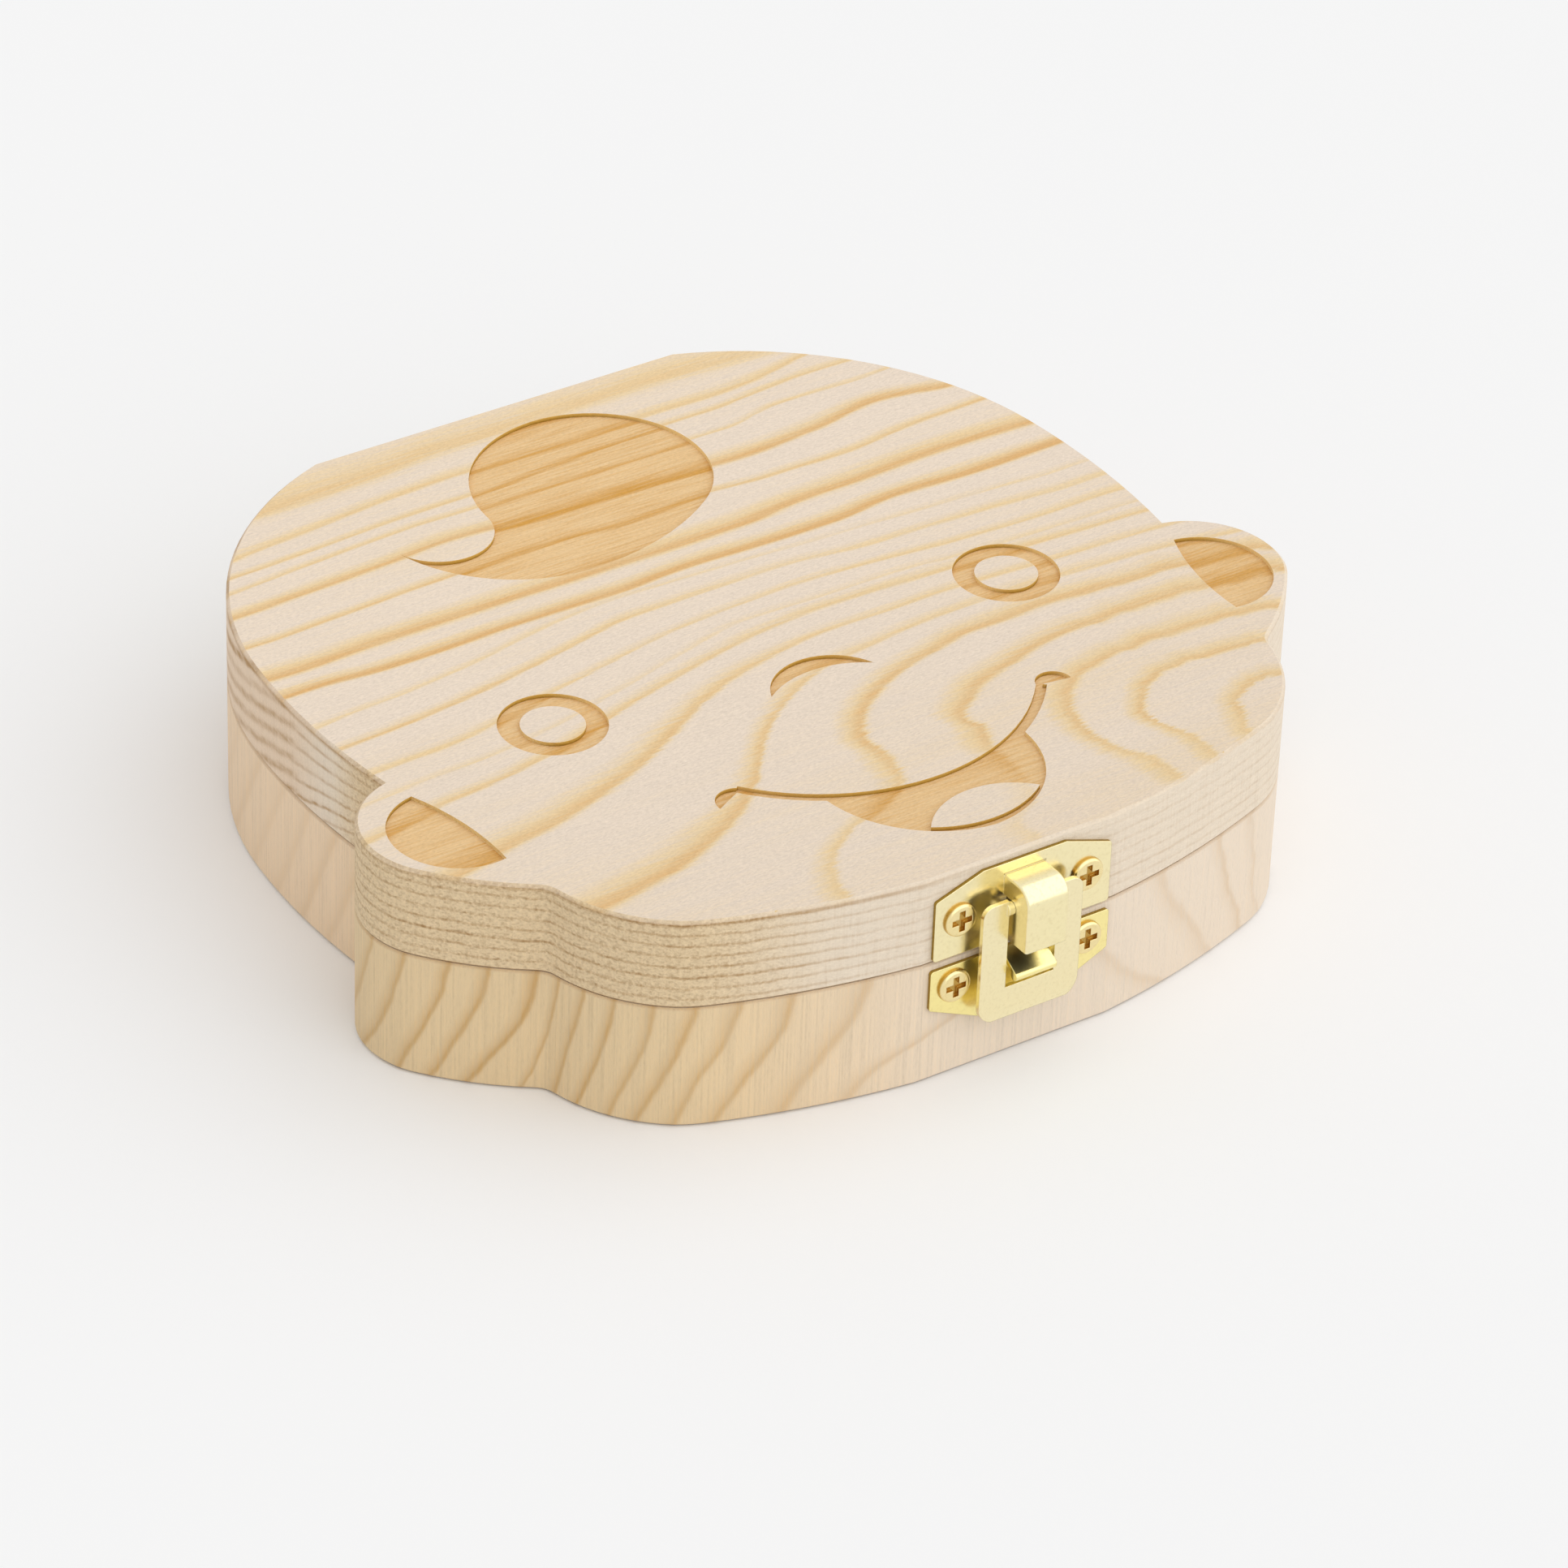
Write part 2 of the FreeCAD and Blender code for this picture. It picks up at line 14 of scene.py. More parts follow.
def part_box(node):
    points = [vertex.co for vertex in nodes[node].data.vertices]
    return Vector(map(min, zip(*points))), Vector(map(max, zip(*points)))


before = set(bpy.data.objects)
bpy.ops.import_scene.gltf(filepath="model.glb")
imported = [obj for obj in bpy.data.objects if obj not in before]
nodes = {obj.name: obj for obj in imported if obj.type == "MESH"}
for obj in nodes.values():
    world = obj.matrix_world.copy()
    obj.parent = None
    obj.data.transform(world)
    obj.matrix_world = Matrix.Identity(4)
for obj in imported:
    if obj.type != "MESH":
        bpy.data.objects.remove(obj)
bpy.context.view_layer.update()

MM = 0.001

# %% [markdown]
# The camera stands where the picture was taken from: a long lens, a little left of the latch and well above
# the table. Two directions fix how it is turned, a third follows from them, and the three become the
# columns of its matrix. The picture is square, so the sensor's 36 mm are both its width and its height.

# %% Camera
EYE = Vector((-0.393563, -0.569055, 0.465313))
LOOK_RIGHT = Vector((0.83006, -0.55676, 0.03194))
LOOK_UP = Vector((0.28693, 0.47548, 0.83162))
SENSOR = 36.0
FOCAL_LENGTH = 165.25
NEAREST = 0.01

lens = bpy.data.cameras.new("photo_lens")
lens.sensor_width = SENSOR
lens.lens = FOCAL_LENGTH
lens.clip_start = NEAREST
camera = bpy.data.objects.new("photo_camera", lens)
turn = Matrix((LOOK_RIGHT, LOOK_UP, LOOK_RIGHT.cross(LOOK_UP))).transposed()
camera.matrix_world = Matrix.Translation(EYE) @ turn.to_4x4()
bpy.context.collection.objects.link(camera)
bpy.context.scene.camera = camera
print("camera:", [round(v, 3) for v in EYE], "lens", lens.lens)

# %% [markdown]
# A studio for pale wood: a bright even room, and one very broad soft lamp in front, to the right and above.
# Together they light the lid with just as much as makes a colour come out as it is written, the front and
# right walls nearly as much, and the left walls about three quarters of it. A mirror-bright metal would see
# the dim half of such a room as grey, so rays that come straight from the camera, or by way of a mirror or
# a clear body, are shown the plain backdrop instead.

# %% Studio
BACKDROP = (0.922, 0.922, 0.922, 1.0)
WHITE = (1.0, 1.0, 1.0, 1.0)
ROOM_LEVEL = 0.7
LAMP_LEVEL = 1.3
LAMP_SPREAD = 2.0
LAMP_PLACE = (0.424, -0.566, 0.707)

lamp = bpy.data.lights.new("soft_lamp", "SUN")
lamp.energy = LAMP_LEVEL
lamp.angle = LAMP_SPREAD
lamp_stand = bpy.data.objects.new("soft_lamp", lamp)
lamp_stand.rotation_euler = (-Vector(LAMP_PLACE)).to_track_quat("-Z", "Y").to_euler()
bpy.context.collection.objects.link(lamp_stand)

world = bpy.data.worlds.new("studio")
bpy.context.scene.world = world
world.use_nodes = True
sky = world.node_tree
sky.nodes.clear()
room = sky.nodes.new("ShaderNodeBackground")
room.inputs["Color"].default_value = WHITE
room.inputs["Strength"].default_value = ROOM_LEVEL
seen = sky.nodes.new("ShaderNodeBackground")
seen.inputs["Color"].default_value = BACKDROP
paths = sky.nodes.new("ShaderNodeLightPath")
straight = paths.outputs["Is Camera Ray"]
for kind in ("Is Glossy Ray", "Is Transmission Ray"):
    either = sky.nodes.new("ShaderNodeMath")
    either.operation = "MAXIMUM"
    sky.links.new(straight, either.inputs[0])
    sky.links.new(paths.outputs[kind], either.inputs[1])
    straight = either.outputs[0]
pick = sky.nodes.new("ShaderNodeMixShader")
out = sky.nodes.new("ShaderNodeOutputWorld")
sky.links.new(straight, pick.inputs["Fac"])
sky.links.new(room.outputs[0], pick.inputs[1])
sky.links.new(seen.outputs[0], pick.inputs[2])
sky.links.new(pick.outputs[0], out.inputs["Surface"])
bpy.context.scene.view_settings.view_transform = "Standard"
print("light on the lid:", round(ROOM_LEVEL + LAMP_LEVEL * LAMP_PLACE[2] / math.pi, 2))

# %% [markdown]
# The floor is one large sheet, a hair under the box so that the two never share a surface. Its colour is
# the backdrop's, and it takes the box's soft shadow.

# %% Floor
SPAN = 3.0
FLOOR_DROP = 0.1
FLOOR_ROUGHNESS = 0.9

corners = [(east * SPAN, north * SPAN, 0.0) for east, north in ((-1, -1), (1, -1), (1, 1), (-1, 1))]
floor_mesh = bpy.data.meshes.new("floor")
floor_mesh.from_pydata(corners, [], [(0, 1, 2, 3)])
floor = bpy.data.objects.new("floor", floor_mesh)
floor.location.z = -FLOOR_DROP * MM
bpy.context.collection.objects.link(floor)
floor_paper = bpy.data.materials.new("floor_paper")
floor_paper.use_nodes = True
paper = floor_paper.node_tree.nodes["Principled BSDF"]
paper.inputs["Base Color"].default_value = BACKDROP
paper.inputs["Roughness"].default_value = FLOOR_ROUGHNESS
paper.inputs["Specular IOR Level"].default_value = 0.0
floor_mesh.materials.append(floor_paper)
print("floor:", floor.name, 2 * SPAN, "m wide")

# %% [markdown]
# Every finish here is a small web of nodes, so a few helpers keep the cells short. `feed` puts a number
# into a socket or links another node's output to it, and `calc` is one Math node. `total`, `product` and
# `most_of` fold any number of values into one.

# %% Node helpers: sums


def feed(tree, socket, value):
    if isinstance(value, bpy.types.NodeSocket):
        tree.links.new(value, socket)
    else:
        socket.default_value = value


def calc(tree, operation, *values):
    node = tree.nodes.new("ShaderNodeMath")
    node.operation = operation
    for socket, value in zip(node.inputs, values):
        feed(tree, socket, value)
    return node.outputs[0]


def fold(tree, operation, values):
    result = values[0]
    for value in values[1:]:
        result = calc(tree, operation, result, value)
    return result


def total(tree, *values):
    return fold(tree, "ADD", values)


def product(tree, *values):
    return fold(tree, "MULTIPLY", values)


def most_of(tree, *values):
    return fold(tree, "MAXIMUM", values)


print("sum helpers ready")

# %% [markdown]
# The next few say where something is and how much of it there is. `scaled` stretches a value and moves it,
# `along` goes evenly from one number to another, and `rest_of` is what is missing to 1. `rise` goes
# smoothly from 0 to 1 between two values, and `fade` goes from 1 to 0. `between` is 1 inside a stretch and
# 0 outside.

# %% Node helpers: places and amounts


def scaled(tree, value, factor, more=0.0):
    return calc(tree, "MULTIPLY_ADD", value, factor, more)


def along(tree, amount, start, end):
    return scaled(tree, amount, end - start, start)


def rest_of(tree, value):
    return calc(tree, "SUBTRACT", 1.0, value)


def rise(tree, value, low, high):
    node = tree.nodes.new("ShaderNodeMapRange")
    node.interpolation_type = "SMOOTHSTEP"
    for name, number in (("Value", value), ("From Min", low), ("From Max", high)):
        feed(tree, node.inputs[name], number)
    return node.outputs[0]


def fade(tree, value, low, high):
    return rest_of(tree, rise(tree, value, low, high))


def between(tree, value, low, high):
    return product(tree, calc(tree, "GREATER_THAN", value, low), calc(tree, "LESS_THAN", value, high))


print("place helpers ready")

# %% [markdown]
# Wood needs noise with a direction: fibres are long one way and thin the other two. `grain` stretches the
# coordinates before the noise reads them, with one number per axis, in waves per millimetre. It comes back
# centred on nought, so it can be added to things. `drawn` is a line drawn through evenly spaced points,
# kept in a Float Curve.

# %% Node helpers: grain and drawn lines
NOISE_ROUGHNESS = 0.55


def grain(tree, place, waves, detail=2.0, size=1.0, shift=0.0):
    spread = tree.nodes.new("ShaderNodeCombineXYZ")
    for socket, part, wave in zip(spread.inputs, place, waves):
        feed(tree, socket, scaled(tree, part, wave, shift))
    noise = tree.nodes.new("ShaderNodeTexNoise")
    noise.inputs["Scale"].default_value = 1.0
    noise.inputs["Detail"].default_value = detail
    noise.inputs["Roughness"].default_value = NOISE_ROUGHNESS
    tree.links.new(spread.outputs[0], noise.inputs["Vector"])
    return scaled(tree, noise.outputs["Fac"], size, -size / 2)


def drawn(tree, value, heights):
    node = tree.nodes.new("ShaderNodeFloatCurve")
    node.mapping.extend = "HORIZONTAL"
    line = node.mapping.curves[0]
    last = len(heights) - 1
    line.points[0].location = (0.0, heights[0])
    line.points[1].location = (1.0, heights[last])
    for number in range(1, last):
        line.points.new(number / last, heights[number])
    for point in line.points:
        point.handle_type = "AUTO_CLAMPED"
    node.mapping.update()
    feed(tree, node.inputs["Value"], value)
    return node.outputs[0]


print("grain helpers ready")

# %% [markdown]
# Colours are written as they look on a screen, 0 to 255, and turned into the light values that Blender
# works with. `blend` mixes two of them, and `shaded` makes a colour lighter or darker by a factor. A Mix
# node has sockets for numbers, vectors and colours under the same names, so the colours are picked by
# position.

# %% Node helpers: colours
FIRST_COLOUR, SECOND_COLOUR, MIXED_COLOUR = 6, 7, 2


def srgb(red, green, blue):
    def linear(part):
        part = part / 255
        return part / 12.92 if part <= 0.04045 else ((part + 0.055) / 1.055) ** 2.4
    return (linear(red), linear(green), linear(blue), 1.0)


def blend(tree, amount, first, second):
    node = tree.nodes.new("ShaderNodeMix")
    node.data_type = "RGBA"
    feed(tree, node.inputs["Factor"], amount)
    feed(tree, node.inputs[FIRST_COLOUR], first)
    feed(tree, node.inputs[SECOND_COLOUR], second)
    return node.outputs[MIXED_COLOUR]


def shaded(tree, colour, factor):
    node = tree.nodes.new("ShaderNodeVectorMath")
    node.operation = "SCALE"
    tree.links.new(colour, node.inputs[0])
    tree.links.new(factor, node.inputs["Scale"])
    return node.outputs[0]


print("colour helpers ready")

# %% [markdown]
# A finish starts as Blender's own Principled shader. `millimetres` tells it where a point is on the box and
# which way the surface looks there. A solid's place is in its mesh, so object coordinates are the box's
# own, and the pattern stays on its piece when the piece moves. `roughen` adds a fine relief.

# %% Node helpers: finishes


def new_finish(name):
    finish = bpy.data.materials.new(name)
    finish.use_nodes = True
    tree = finish.node_tree
    return finish, tree, tree.nodes["Principled BSDF"]


def millimetres(tree):
    source = tree.nodes.new("ShaderNodeTexCoord")
    split = tree.nodes.new("ShaderNodeSeparateXYZ")
    tree.links.new(source.outputs["Object"], split.inputs[0])
    facing = tree.nodes.new("ShaderNodeSeparateXYZ")
    tree.links.new(source.outputs["Normal"], facing.inputs[0])
    place = [calc(tree, "MULTIPLY", socket, 1 / MM) for socket in split.outputs]
    return place, list(facing.outputs)


def roughen(tree, shader, height, depth):
    bump = tree.nodes.new("ShaderNodeBump")
    bump.inputs["Distance"].default_value = depth * MM
    bump.inputs["Strength"].default_value = 1.0
    tree.links.new(height, bump.inputs["Height"])
    tree.links.new(bump.outputs[0], shader.inputs["Normal"])
    return bump


print("finish helpers ready")

# %% [markdown]
# A pine board shows its years as bands that are sharp on one side, where growth stopped for winter, and
# fade on the other. On this lid the upper half has lines that run from side to side. A noise would give
# lines of no tree in particular, so each one is drawn: its widths and strengths at the left and right, and
# its height at every 10 mm from one ear to the other.

# %% Year lines of the lid
HALF_SPAN = 60.0
HALF_RISE = 65.0
year_lines = (
    ((8.5, 8.0), (0.6, 0.55),
     (46.0, 46.5, 47.5, 47.5, 48.0, 49.0, 49.0, 49.5, 49.5, 49.0, 48.5, 48.0, 48.0)),
    ((1.9, 1.9), (0.55, 0.6),
     (39.0, 39.5, 41.0, 42.0, 43.0, 43.5, 43.5, 43.5, 43.5, 44.0, 46.0, 46.5, 47.0)),
    ((1.3, 1.4), (0.6, 0.6),
     (36.5, 37.0, 37.5, 38.0, 38.5, 39.0, 40.0, 40.5, 40.5, 41.5, 42.0, 41.5, 41.5)),
    ((1.3, 1.3), (0.55, 0.5),
     (34.0, 34.0, 35.0, 35.5, 36.0, 36.0, 36.0, 36.0, 36.0, 37.5, 37.5, 38.5, 39.0)),
    ((2.2, 3.1), (0.8, 0.85),
     (29.0, 29.5, 30.0, 30.5, 31.5, 31.0, 30.5, 30.0, 29.5, 30.5, 32.0, 30.5, 30.0)),
    ((1.6, 1.6), (0.65, 0.65),
     (23.5, 23.5, 24.0, 24.5, 25.0, 25.5, 24.5, 25.0, 24.5, 24.5, 25.5, 26.0, 26.5)),
    ((3.3, 3.7), (0.85, 0.85),
     (17.0, 16.5, 17.0, 17.0, 17.0, 17.0, 17.0, 17.0, 18.0, 18.5, 19.0, 18.5, 18.0)),
    ((2.6, 3.0), (0.95, 0.95),
     (12.5, 12.5, 12.0, 12.0, 12.0, 12.0, 12.5, 12.0, 12.0, 13.0, 13.0, 13.0, 13.0)),
    ((1.4, 1.4), (0.4, 0.35),
     (4.5, 5.5, 6.5, 8.0, 10.0, 11.0, 10.5, 10.0, 9.5, 9.0, 8.5, 8.0, 8.0)),
    ((1.8, 1.7), (0.65, 0.45),
     (0.0, 0.5, 1.5, 3.0, 5.0, 7.0, 7.0, 7.0, 6.0, 5.5, 5.0, 4.5, 4.5)),
    ((1.5, 1.5), (0.5, 0.5),
     (-6.0, -5.5, -4.5, -2.5, -0.5, 1.5, 2.5, 3.0, 2.5, 1.5, 1.0, 1.0, 0.5)),
    ((1.3, 1.3), (0.3, 0.3),
     (-11.0, -10.0, -9.0, -7.5, -5.0, -2.5, -0.5, -0.5, -0.5, -1.5, -2.0, -2.0, -2.5)),
    ((2.2, 2.0), (0.6, 0.55),
     (-17.0, -15.0, -13.5, -11.0, -8.0, -5.5, -3.5, -2.5, -3.0, -3.5, -4.0, -4.5, -5.0)),
    ((4.5, 1.8), (0.7, 0.5),
     (-28.5, -26.0, -24.0, -20.5, -15.5, -10.5, -8.0, -7.0, -7.0, -7.5, -8.0, -8.5, -9.5)),
    ((5.0, 2.1), (0.75, 0.5),
     (-41.5, -41.0, -39.5, -36.5, -30.5, -20.0, -14.0, -12.0, -11.0, -11.0, -11.5, -12.5, -14.0)),
)
print("year lines:", len(year_lines))

# %% [markdown]
# Lower down the saw ran nearly flat to the rings, and they open into arches round a point on the right
# cheek, as contour lines go round a hill. An arch is drawn the same way, but as its distance from that
# point at every 5 degrees, from the upper right round to the lower left. It has one width, and a strength
# at either end.

# %% Year arches of the lid
HILL = (41.5, -47.6)
FIRST_TURN, LAST_TURN = 60.0, 190.0
ARCH_REACH = 70.0
year_arches = (
    (3.7, (0.72, 0.50),
     (34.5, 33.5, 32.5, 32.0, 32.0, 31.5, 31.5, 32.0, 32.5, 33.5, 34.5, 35.5, 37.0, 39.0,
      40.5, 42.5, 44.5, 46.5, 48.0, 48.5, 47.0, 46.5, 49.5, 57.0, 62.0, 63.5, 63.5)),
    (4.0, (0.70, 0.22),
     (30.0, 28.5, 28.0, 27.0, 27.0, 26.5, 26.5, 26.5, 27.0, 27.0, 28.0, 29.0, 30.0, 31.0,
      32.0, 33.5, 35.0, 36.0, 37.0, 35.0, 35.0, 34.0, 33.5, 34.0, 35.5, 39.5, 39.5)),
    (3.5, (0.66, 0.54),
     (21.5, 21.0, 20.5, 20.5, 20.0, 20.0, 20.0, 20.0, 20.5, 21.0, 21.0, 22.0, 22.5, 23.0,
      24.0, 24.5, 25.0, 25.0, 24.5, 24.0, 23.5, 22.5, 21.5, 20.0, 19.0, 19.0, 19.0)),
    (2.7, (0.66, 0.54),
     (15.0, 14.5, 14.5, 14.0, 14.0, 14.0, 14.0, 14.0, 14.5, 15.0, 15.0, 15.5, 16.0, 16.0,
      16.5, 16.5, 16.5, 16.5, 16.5, 16.0, 15.0, 14.0, 13.0, 12.5, 12.5, 12.5, 13.0)),
    (3.0, (0.64, 0.54),
     (7.5, 7.5, 7.5, 7.5, 7.0, 7.0, 7.0, 6.5, 6.5, 6.5, 6.0, 6.0, 6.0, 6.0,
      6.0, 6.0, 6.0, 5.5, 5.5, 5.5, 5.5, 5.5, 6.0, 6.0, 6.5, 6.5, 6.5)),
)
print("year arches:", len(year_arches))

# %% [markdown]
# Both kinds end in the same place: a number that is 1 in the dark of a band and 0 in pale wood. How far a
# point lies past the band's sharp side, over the band's width, is looked up in one drawn profile. The
# fibres all run from ear to ear, so the point is first shaken along them. That barely moves the long lines,
# and gives the arches the feathered edges that a plane leaves in real wood.

# %% The lid's late wood
LEAD = 0.25
FEATHER, FEATHER_WAVES = 2.4, (0.25, 2.6, 2.6)
SWAY, SWAY_WAVES = 1.2, (0.05, 0.1, 0.1)
LEFT_TO_RIGHT = (-35.0, 15.0)
CHEEK_TO_CHIN = (0.72, 0.9)
late_profile = (0.0, 0.16, 0.66, 1.0, 0.9, 0.72, 0.56, 0.42, 0.28, 0.12, 0.0)


def band(tree, past, width, strength, profile=late_profile):
    step = scaled(tree, calc(tree, "DIVIDE", past, width), 1 - LEAD, LEAD)
    return product(tree, drawn(tree, step, profile), strength)


def lid_late_wood(tree, place):
    x, y = place[:2]
    shaken = total(tree, x, grain(tree, place, FEATHER_WAVES, detail=3.0, size=FEATHER))
    swayed = total(tree, y, grain(tree, place, SWAY_WAVES, detail=1.0, size=SWAY))
    across = scaled(tree, shaken, 0.5 / HALF_SPAN, 0.5)
    to_right = rise(tree, x, *LEFT_TO_RIGHT)
    bands = []
    for widths, strengths, heights in year_lines:
        line = drawn(tree, across, [height / HALF_RISE / 2 + 0.5 for height in heights])
        past = calc(tree, "SUBTRACT", swayed, scaled(tree, line, 2 * HALF_RISE, -HALF_RISE))
        bands.append(band(tree, past, along(tree, to_right, *widths), along(tree, to_right, *strengths)))
    east = calc(tree, "SUBTRACT", shaken, HILL[0])
    north = calc(tree, "SUBTRACT", swayed, HILL[1])
    reach = calc(tree, "SQRT", total(tree, product(tree, east, east), product(tree, north, north)))
    turned = calc(tree, "ARCTAN2", scaled(tree, east, -1.0), north)
    whole = math.radians(LAST_TURN - FIRST_TURN)
    round_hill = scaled(tree, turned, 1 / whole, math.radians(90.0 - FIRST_TURN) / whole)
    to_chin = rise(tree, round_hill, *CHEEK_TO_CHIN)
    for width, strengths, radii in year_arches:
        arch = drawn(tree, round_hill, [radius / ARCH_REACH for radius in radii])
        past = calc(tree, "SUBTRACT", reach, scaled(tree, arch, ARCH_REACH))
        bands.append(band(tree, past, width, along(tree, to_chin, *strengths)))
    return most_of(tree, *bands)


print("late wood profile:", len(late_profile), "points")

# %% [markdown]
# The lid's walls cut the same rings edge on. Below the face they lie flat, so a wall shows thin lines that
# run level, nearly a millimetre and a half apart. Towards the crown they tilt and open, and the lines
# become wide and sink towards the hinges. One running count of years does both: the depth below the top,
# times a pitch that is over a third less at the crown. Each year gets a strength of its own from a noise of
# whole numbers.

# %% The lid's wall lines: the count of years
lid_low, lid_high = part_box("lid_board")
LID_FOOT, LID_TOP = lid_low[2] / MM, lid_high[2] / MM
EAR_TO_CROWN = (-7.0, 10.0)
FACE_PITCH, CROWN_PITCH = 0.72, 0.45
SINK = -0.12
LEAN, FIRST_YEAR = -0.012, 20.04
RIPPLE, RIPPLE_WAVES = 0.5, (0.25, 0.25, 0.12)
FAINTEST_YEAR = 0.4


def ramp(tree, value, low, high, start, end):
    node = tree.nodes.new("ShaderNodeMapRange")
    settings = {"Value": value, "From Min": low, "From Max": high, "To Min": start, "To Max": end}
    for name, number in settings.items():
        feed(tree, node.inputs[name], number)
    return node.outputs[0]


def own_strength(tree, count):
    year = tree.nodes.new("ShaderNodeTexWhiteNoise")
    year.noise_dimensions = "1D"
    tree.links.new(calc(tree, "FLOOR", count), year.inputs["W"])
    return along(tree, year.outputs["Value"], FAINTEST_YEAR, 1.0)


def lid_years(tree, place, depth):
    x, y = place[:2]
    pitch = ramp(tree, y, *EAR_TO_CROWN, FACE_PITCH, CROWN_PITCH)
    behind = calc(tree, "MAXIMUM", calc(tree, "SUBTRACT", y, EAR_TO_CROWN[1]), 0.0)
    level = scaled(tree, depth, pitch, scaled(tree, behind, SINK))
    ripple = grain(tree, place, RIPPLE_WAVES, detail=3.0, size=RIPPLE)
    return total(tree, level, ripple, scaled(tree, x, LEAN, FIRST_YEAR))


print("lid from", round(LID_FOOT, 2), "to", round(LID_TOP, 2), "mm")

# %% [markdown]
# The fraction of that count says how far through its year a point is, and a drawn profile turns it into a
# thin or a wide line. The lines are strongest round the left ear. They are broken up, because a shaped wall
# never shows them whole, and one more line follows the top edge along the left, as far as the latch.

# %% The lid's wall lines: how they show
thin_profile = (0.0, 0.0, 0.0, 0.0, 0.04, 0.1, 0.22, 0.6, 1.0, 0.6, 0.0)
wide_profile = (0.0, 0.02, 0.1, 0.3, 0.65, 0.95, 1.0, 0.8, 0.4, 0.1, 0.0)
brow_profile = (0.0, 0.3, 1.0, 0.8, 0.2, 0.0)
WIDE_FROM, WIDE_LEVEL = (8.0, 11.0), 0.85
EAR_TO_CHEEK, EAR_MORE = (-32.0, -16.0), 0.42
PAST_LATCH = (-10.0, 25.0)
THIN_LEFT, THIN_RIGHT = 0.33, 0.25
BROW_DEPTH, BROW_LEVEL, BROW_END = 1.1, 0.5, (-20.0, 0.0)
BREAKS, BREAK_WAVES = 2.2, (0.5, 0.5, 1.5)


def lid_wall_lines(tree, place):
    x, y, z = place
    depth = calc(tree, "SUBTRACT", LID_TOP, z)
    count = lid_years(tree, place, depth)
    step = calc(tree, "FRACT", count)
    to_crown = rise(tree, y, *WIDE_FROM)
    to_ear = fade(tree, x, *EAR_TO_CHEEK)
    thin_level = scaled(tree, to_ear, EAR_MORE, ramp(tree, x, *PAST_LATCH, THIN_LEFT, THIN_RIGHT))
    thin = product(tree, drawn(tree, step, thin_profile), thin_level, rest_of(tree, to_crown))
    wide = product(tree, drawn(tree, step, wide_profile), to_crown, WIDE_LEVEL)
    near_top = drawn(tree, calc(tree, "DIVIDE", depth, BROW_DEPTH), brow_profile)
    brow = product(tree, fade(tree, x, *BROW_END), near_top, BROW_LEVEL)
    broken = scaled(tree, grain(tree, place, BREAK_WAVES, detail=3.0), BREAKS, 1.0)
    return total(tree, product(tree, total(tree, wide, thin), own_strength(tree, count), broken), brow)


print("wall profiles:", len(thin_profile), "and", len(wide_profile), "points")

# %% [markdown]
# The face is cut with a hot beam or a fast cutter, which toasts the wood: honey-coloured floors, and low
# walls that go from honey at the top to a dark brown at the bottom, partly burn and partly painted shade at
# the foot of the cut. The finish has to know the engraving's walls from the lid's own edge, which is as
# high. Every cut lies inside a few plain shapes: two blocks for the face and a disc in each ear, and none
# of them touches the outline.

# %% Where the engraving is
ENGRAVED = 0.5
face_blocks = ((30.0, 50.5), (40.0, 20.0))
EAR_MIDDLE, EAR_RADIUS = (50.2, -18.9), 9.3


def within(tree, x, y, middle, radius):
    east = calc(tree, "SUBTRACT", x, middle[0])
    north = calc(tree, "SUBTRACT", y, middle[1])
    square = total(tree, product(tree, east, east), product(tree, north, north))
    return calc(tree, "LESS_THAN", square, radius ** 2)


def inside_the_face(tree, place):
    aside = calc(tree, "ABSOLUTE", place[0])
    ahead = calc(tree, "ABSOLUTE", place[1])
    blocks = [product(tree, calc(tree, "LESS_THAN", aside, wide), calc(tree, "LESS_THAN", ahead, long))
              for wide, long in face_blocks]
    return most_of(tree, *blocks, within(tree, aside, place[1], EAR_MIDDLE, EAR_RADIUS))


print("engraving lies inside", len(face_blocks) + 2, "shapes")

# %% [markdown]
# Now the lid's pine. The pale wood is a pinkish cream, a band begins yellow and ends in a warm tan, and
# fine fibres run over all of it. They break up the bands too, so that no band is one flat colour.

# %% Lid pine: the face
CREAM = srgb(235, 218, 199)
STRAW = srgb(236, 209, 163)
TAN = srgb(223, 177, 116)
FIBRE_WAVES = (0.12, 2.4, 2.4)
SPECK_WAVES = (2.0, 4.6, 4.6)
CLOUD, CLOUD_WAVES = 0.5, (0.02, 0.1, 0.1)
FIBRE_BREAKS, FIBRE_HAZE, SPECK_HAZE = 0.9, 0.35, 0.25
CHIN_END, CHIN_HAZE = (-50.0, -20.0), 0.14
STRAW_FROM, TAN_FROM = (-0.08, 0.6), (0.34, 1.06)

lid_pine, tree, shader = new_finish("lid_pine")
place, facing = millimetres(tree)
fibres = grain(tree, place, FIBRE_WAVES, detail=4.0)
specks = grain(tree, place, SPECK_WAVES, detail=4.0)
clouds = grain(tree, place, CLOUD_WAVES, detail=2.0, size=CLOUD)
late = product(tree, lid_late_wood(tree, place), scaled(tree, fibres, FIBRE_BREAKS, 1.0))
haze = total(tree, scaled(tree, fibres, FIBRE_HAZE, late), clouds)
haze = scaled(tree, specks, SPECK_HAZE, haze)
haze = total(tree, haze, ramp(tree, place[1], *CHIN_END, CHIN_HAZE, 0.0))
plain_top = blend(tree, rise(tree, haze, *STRAW_FROM), CREAM, STRAW)
plain_top = blend(tree, rise(tree, late, *TAN_FROM), plain_top, TAN)
print("face of the lid:", len(tree.nodes), "nodes so far")

# %% [markdown]
# The walls of the same board are rougher. From the left ear round the cheek the cutter tore the end grain
# into flecks, and it left fine upright strokes all round. Behind the ears the wood is a little warmer.

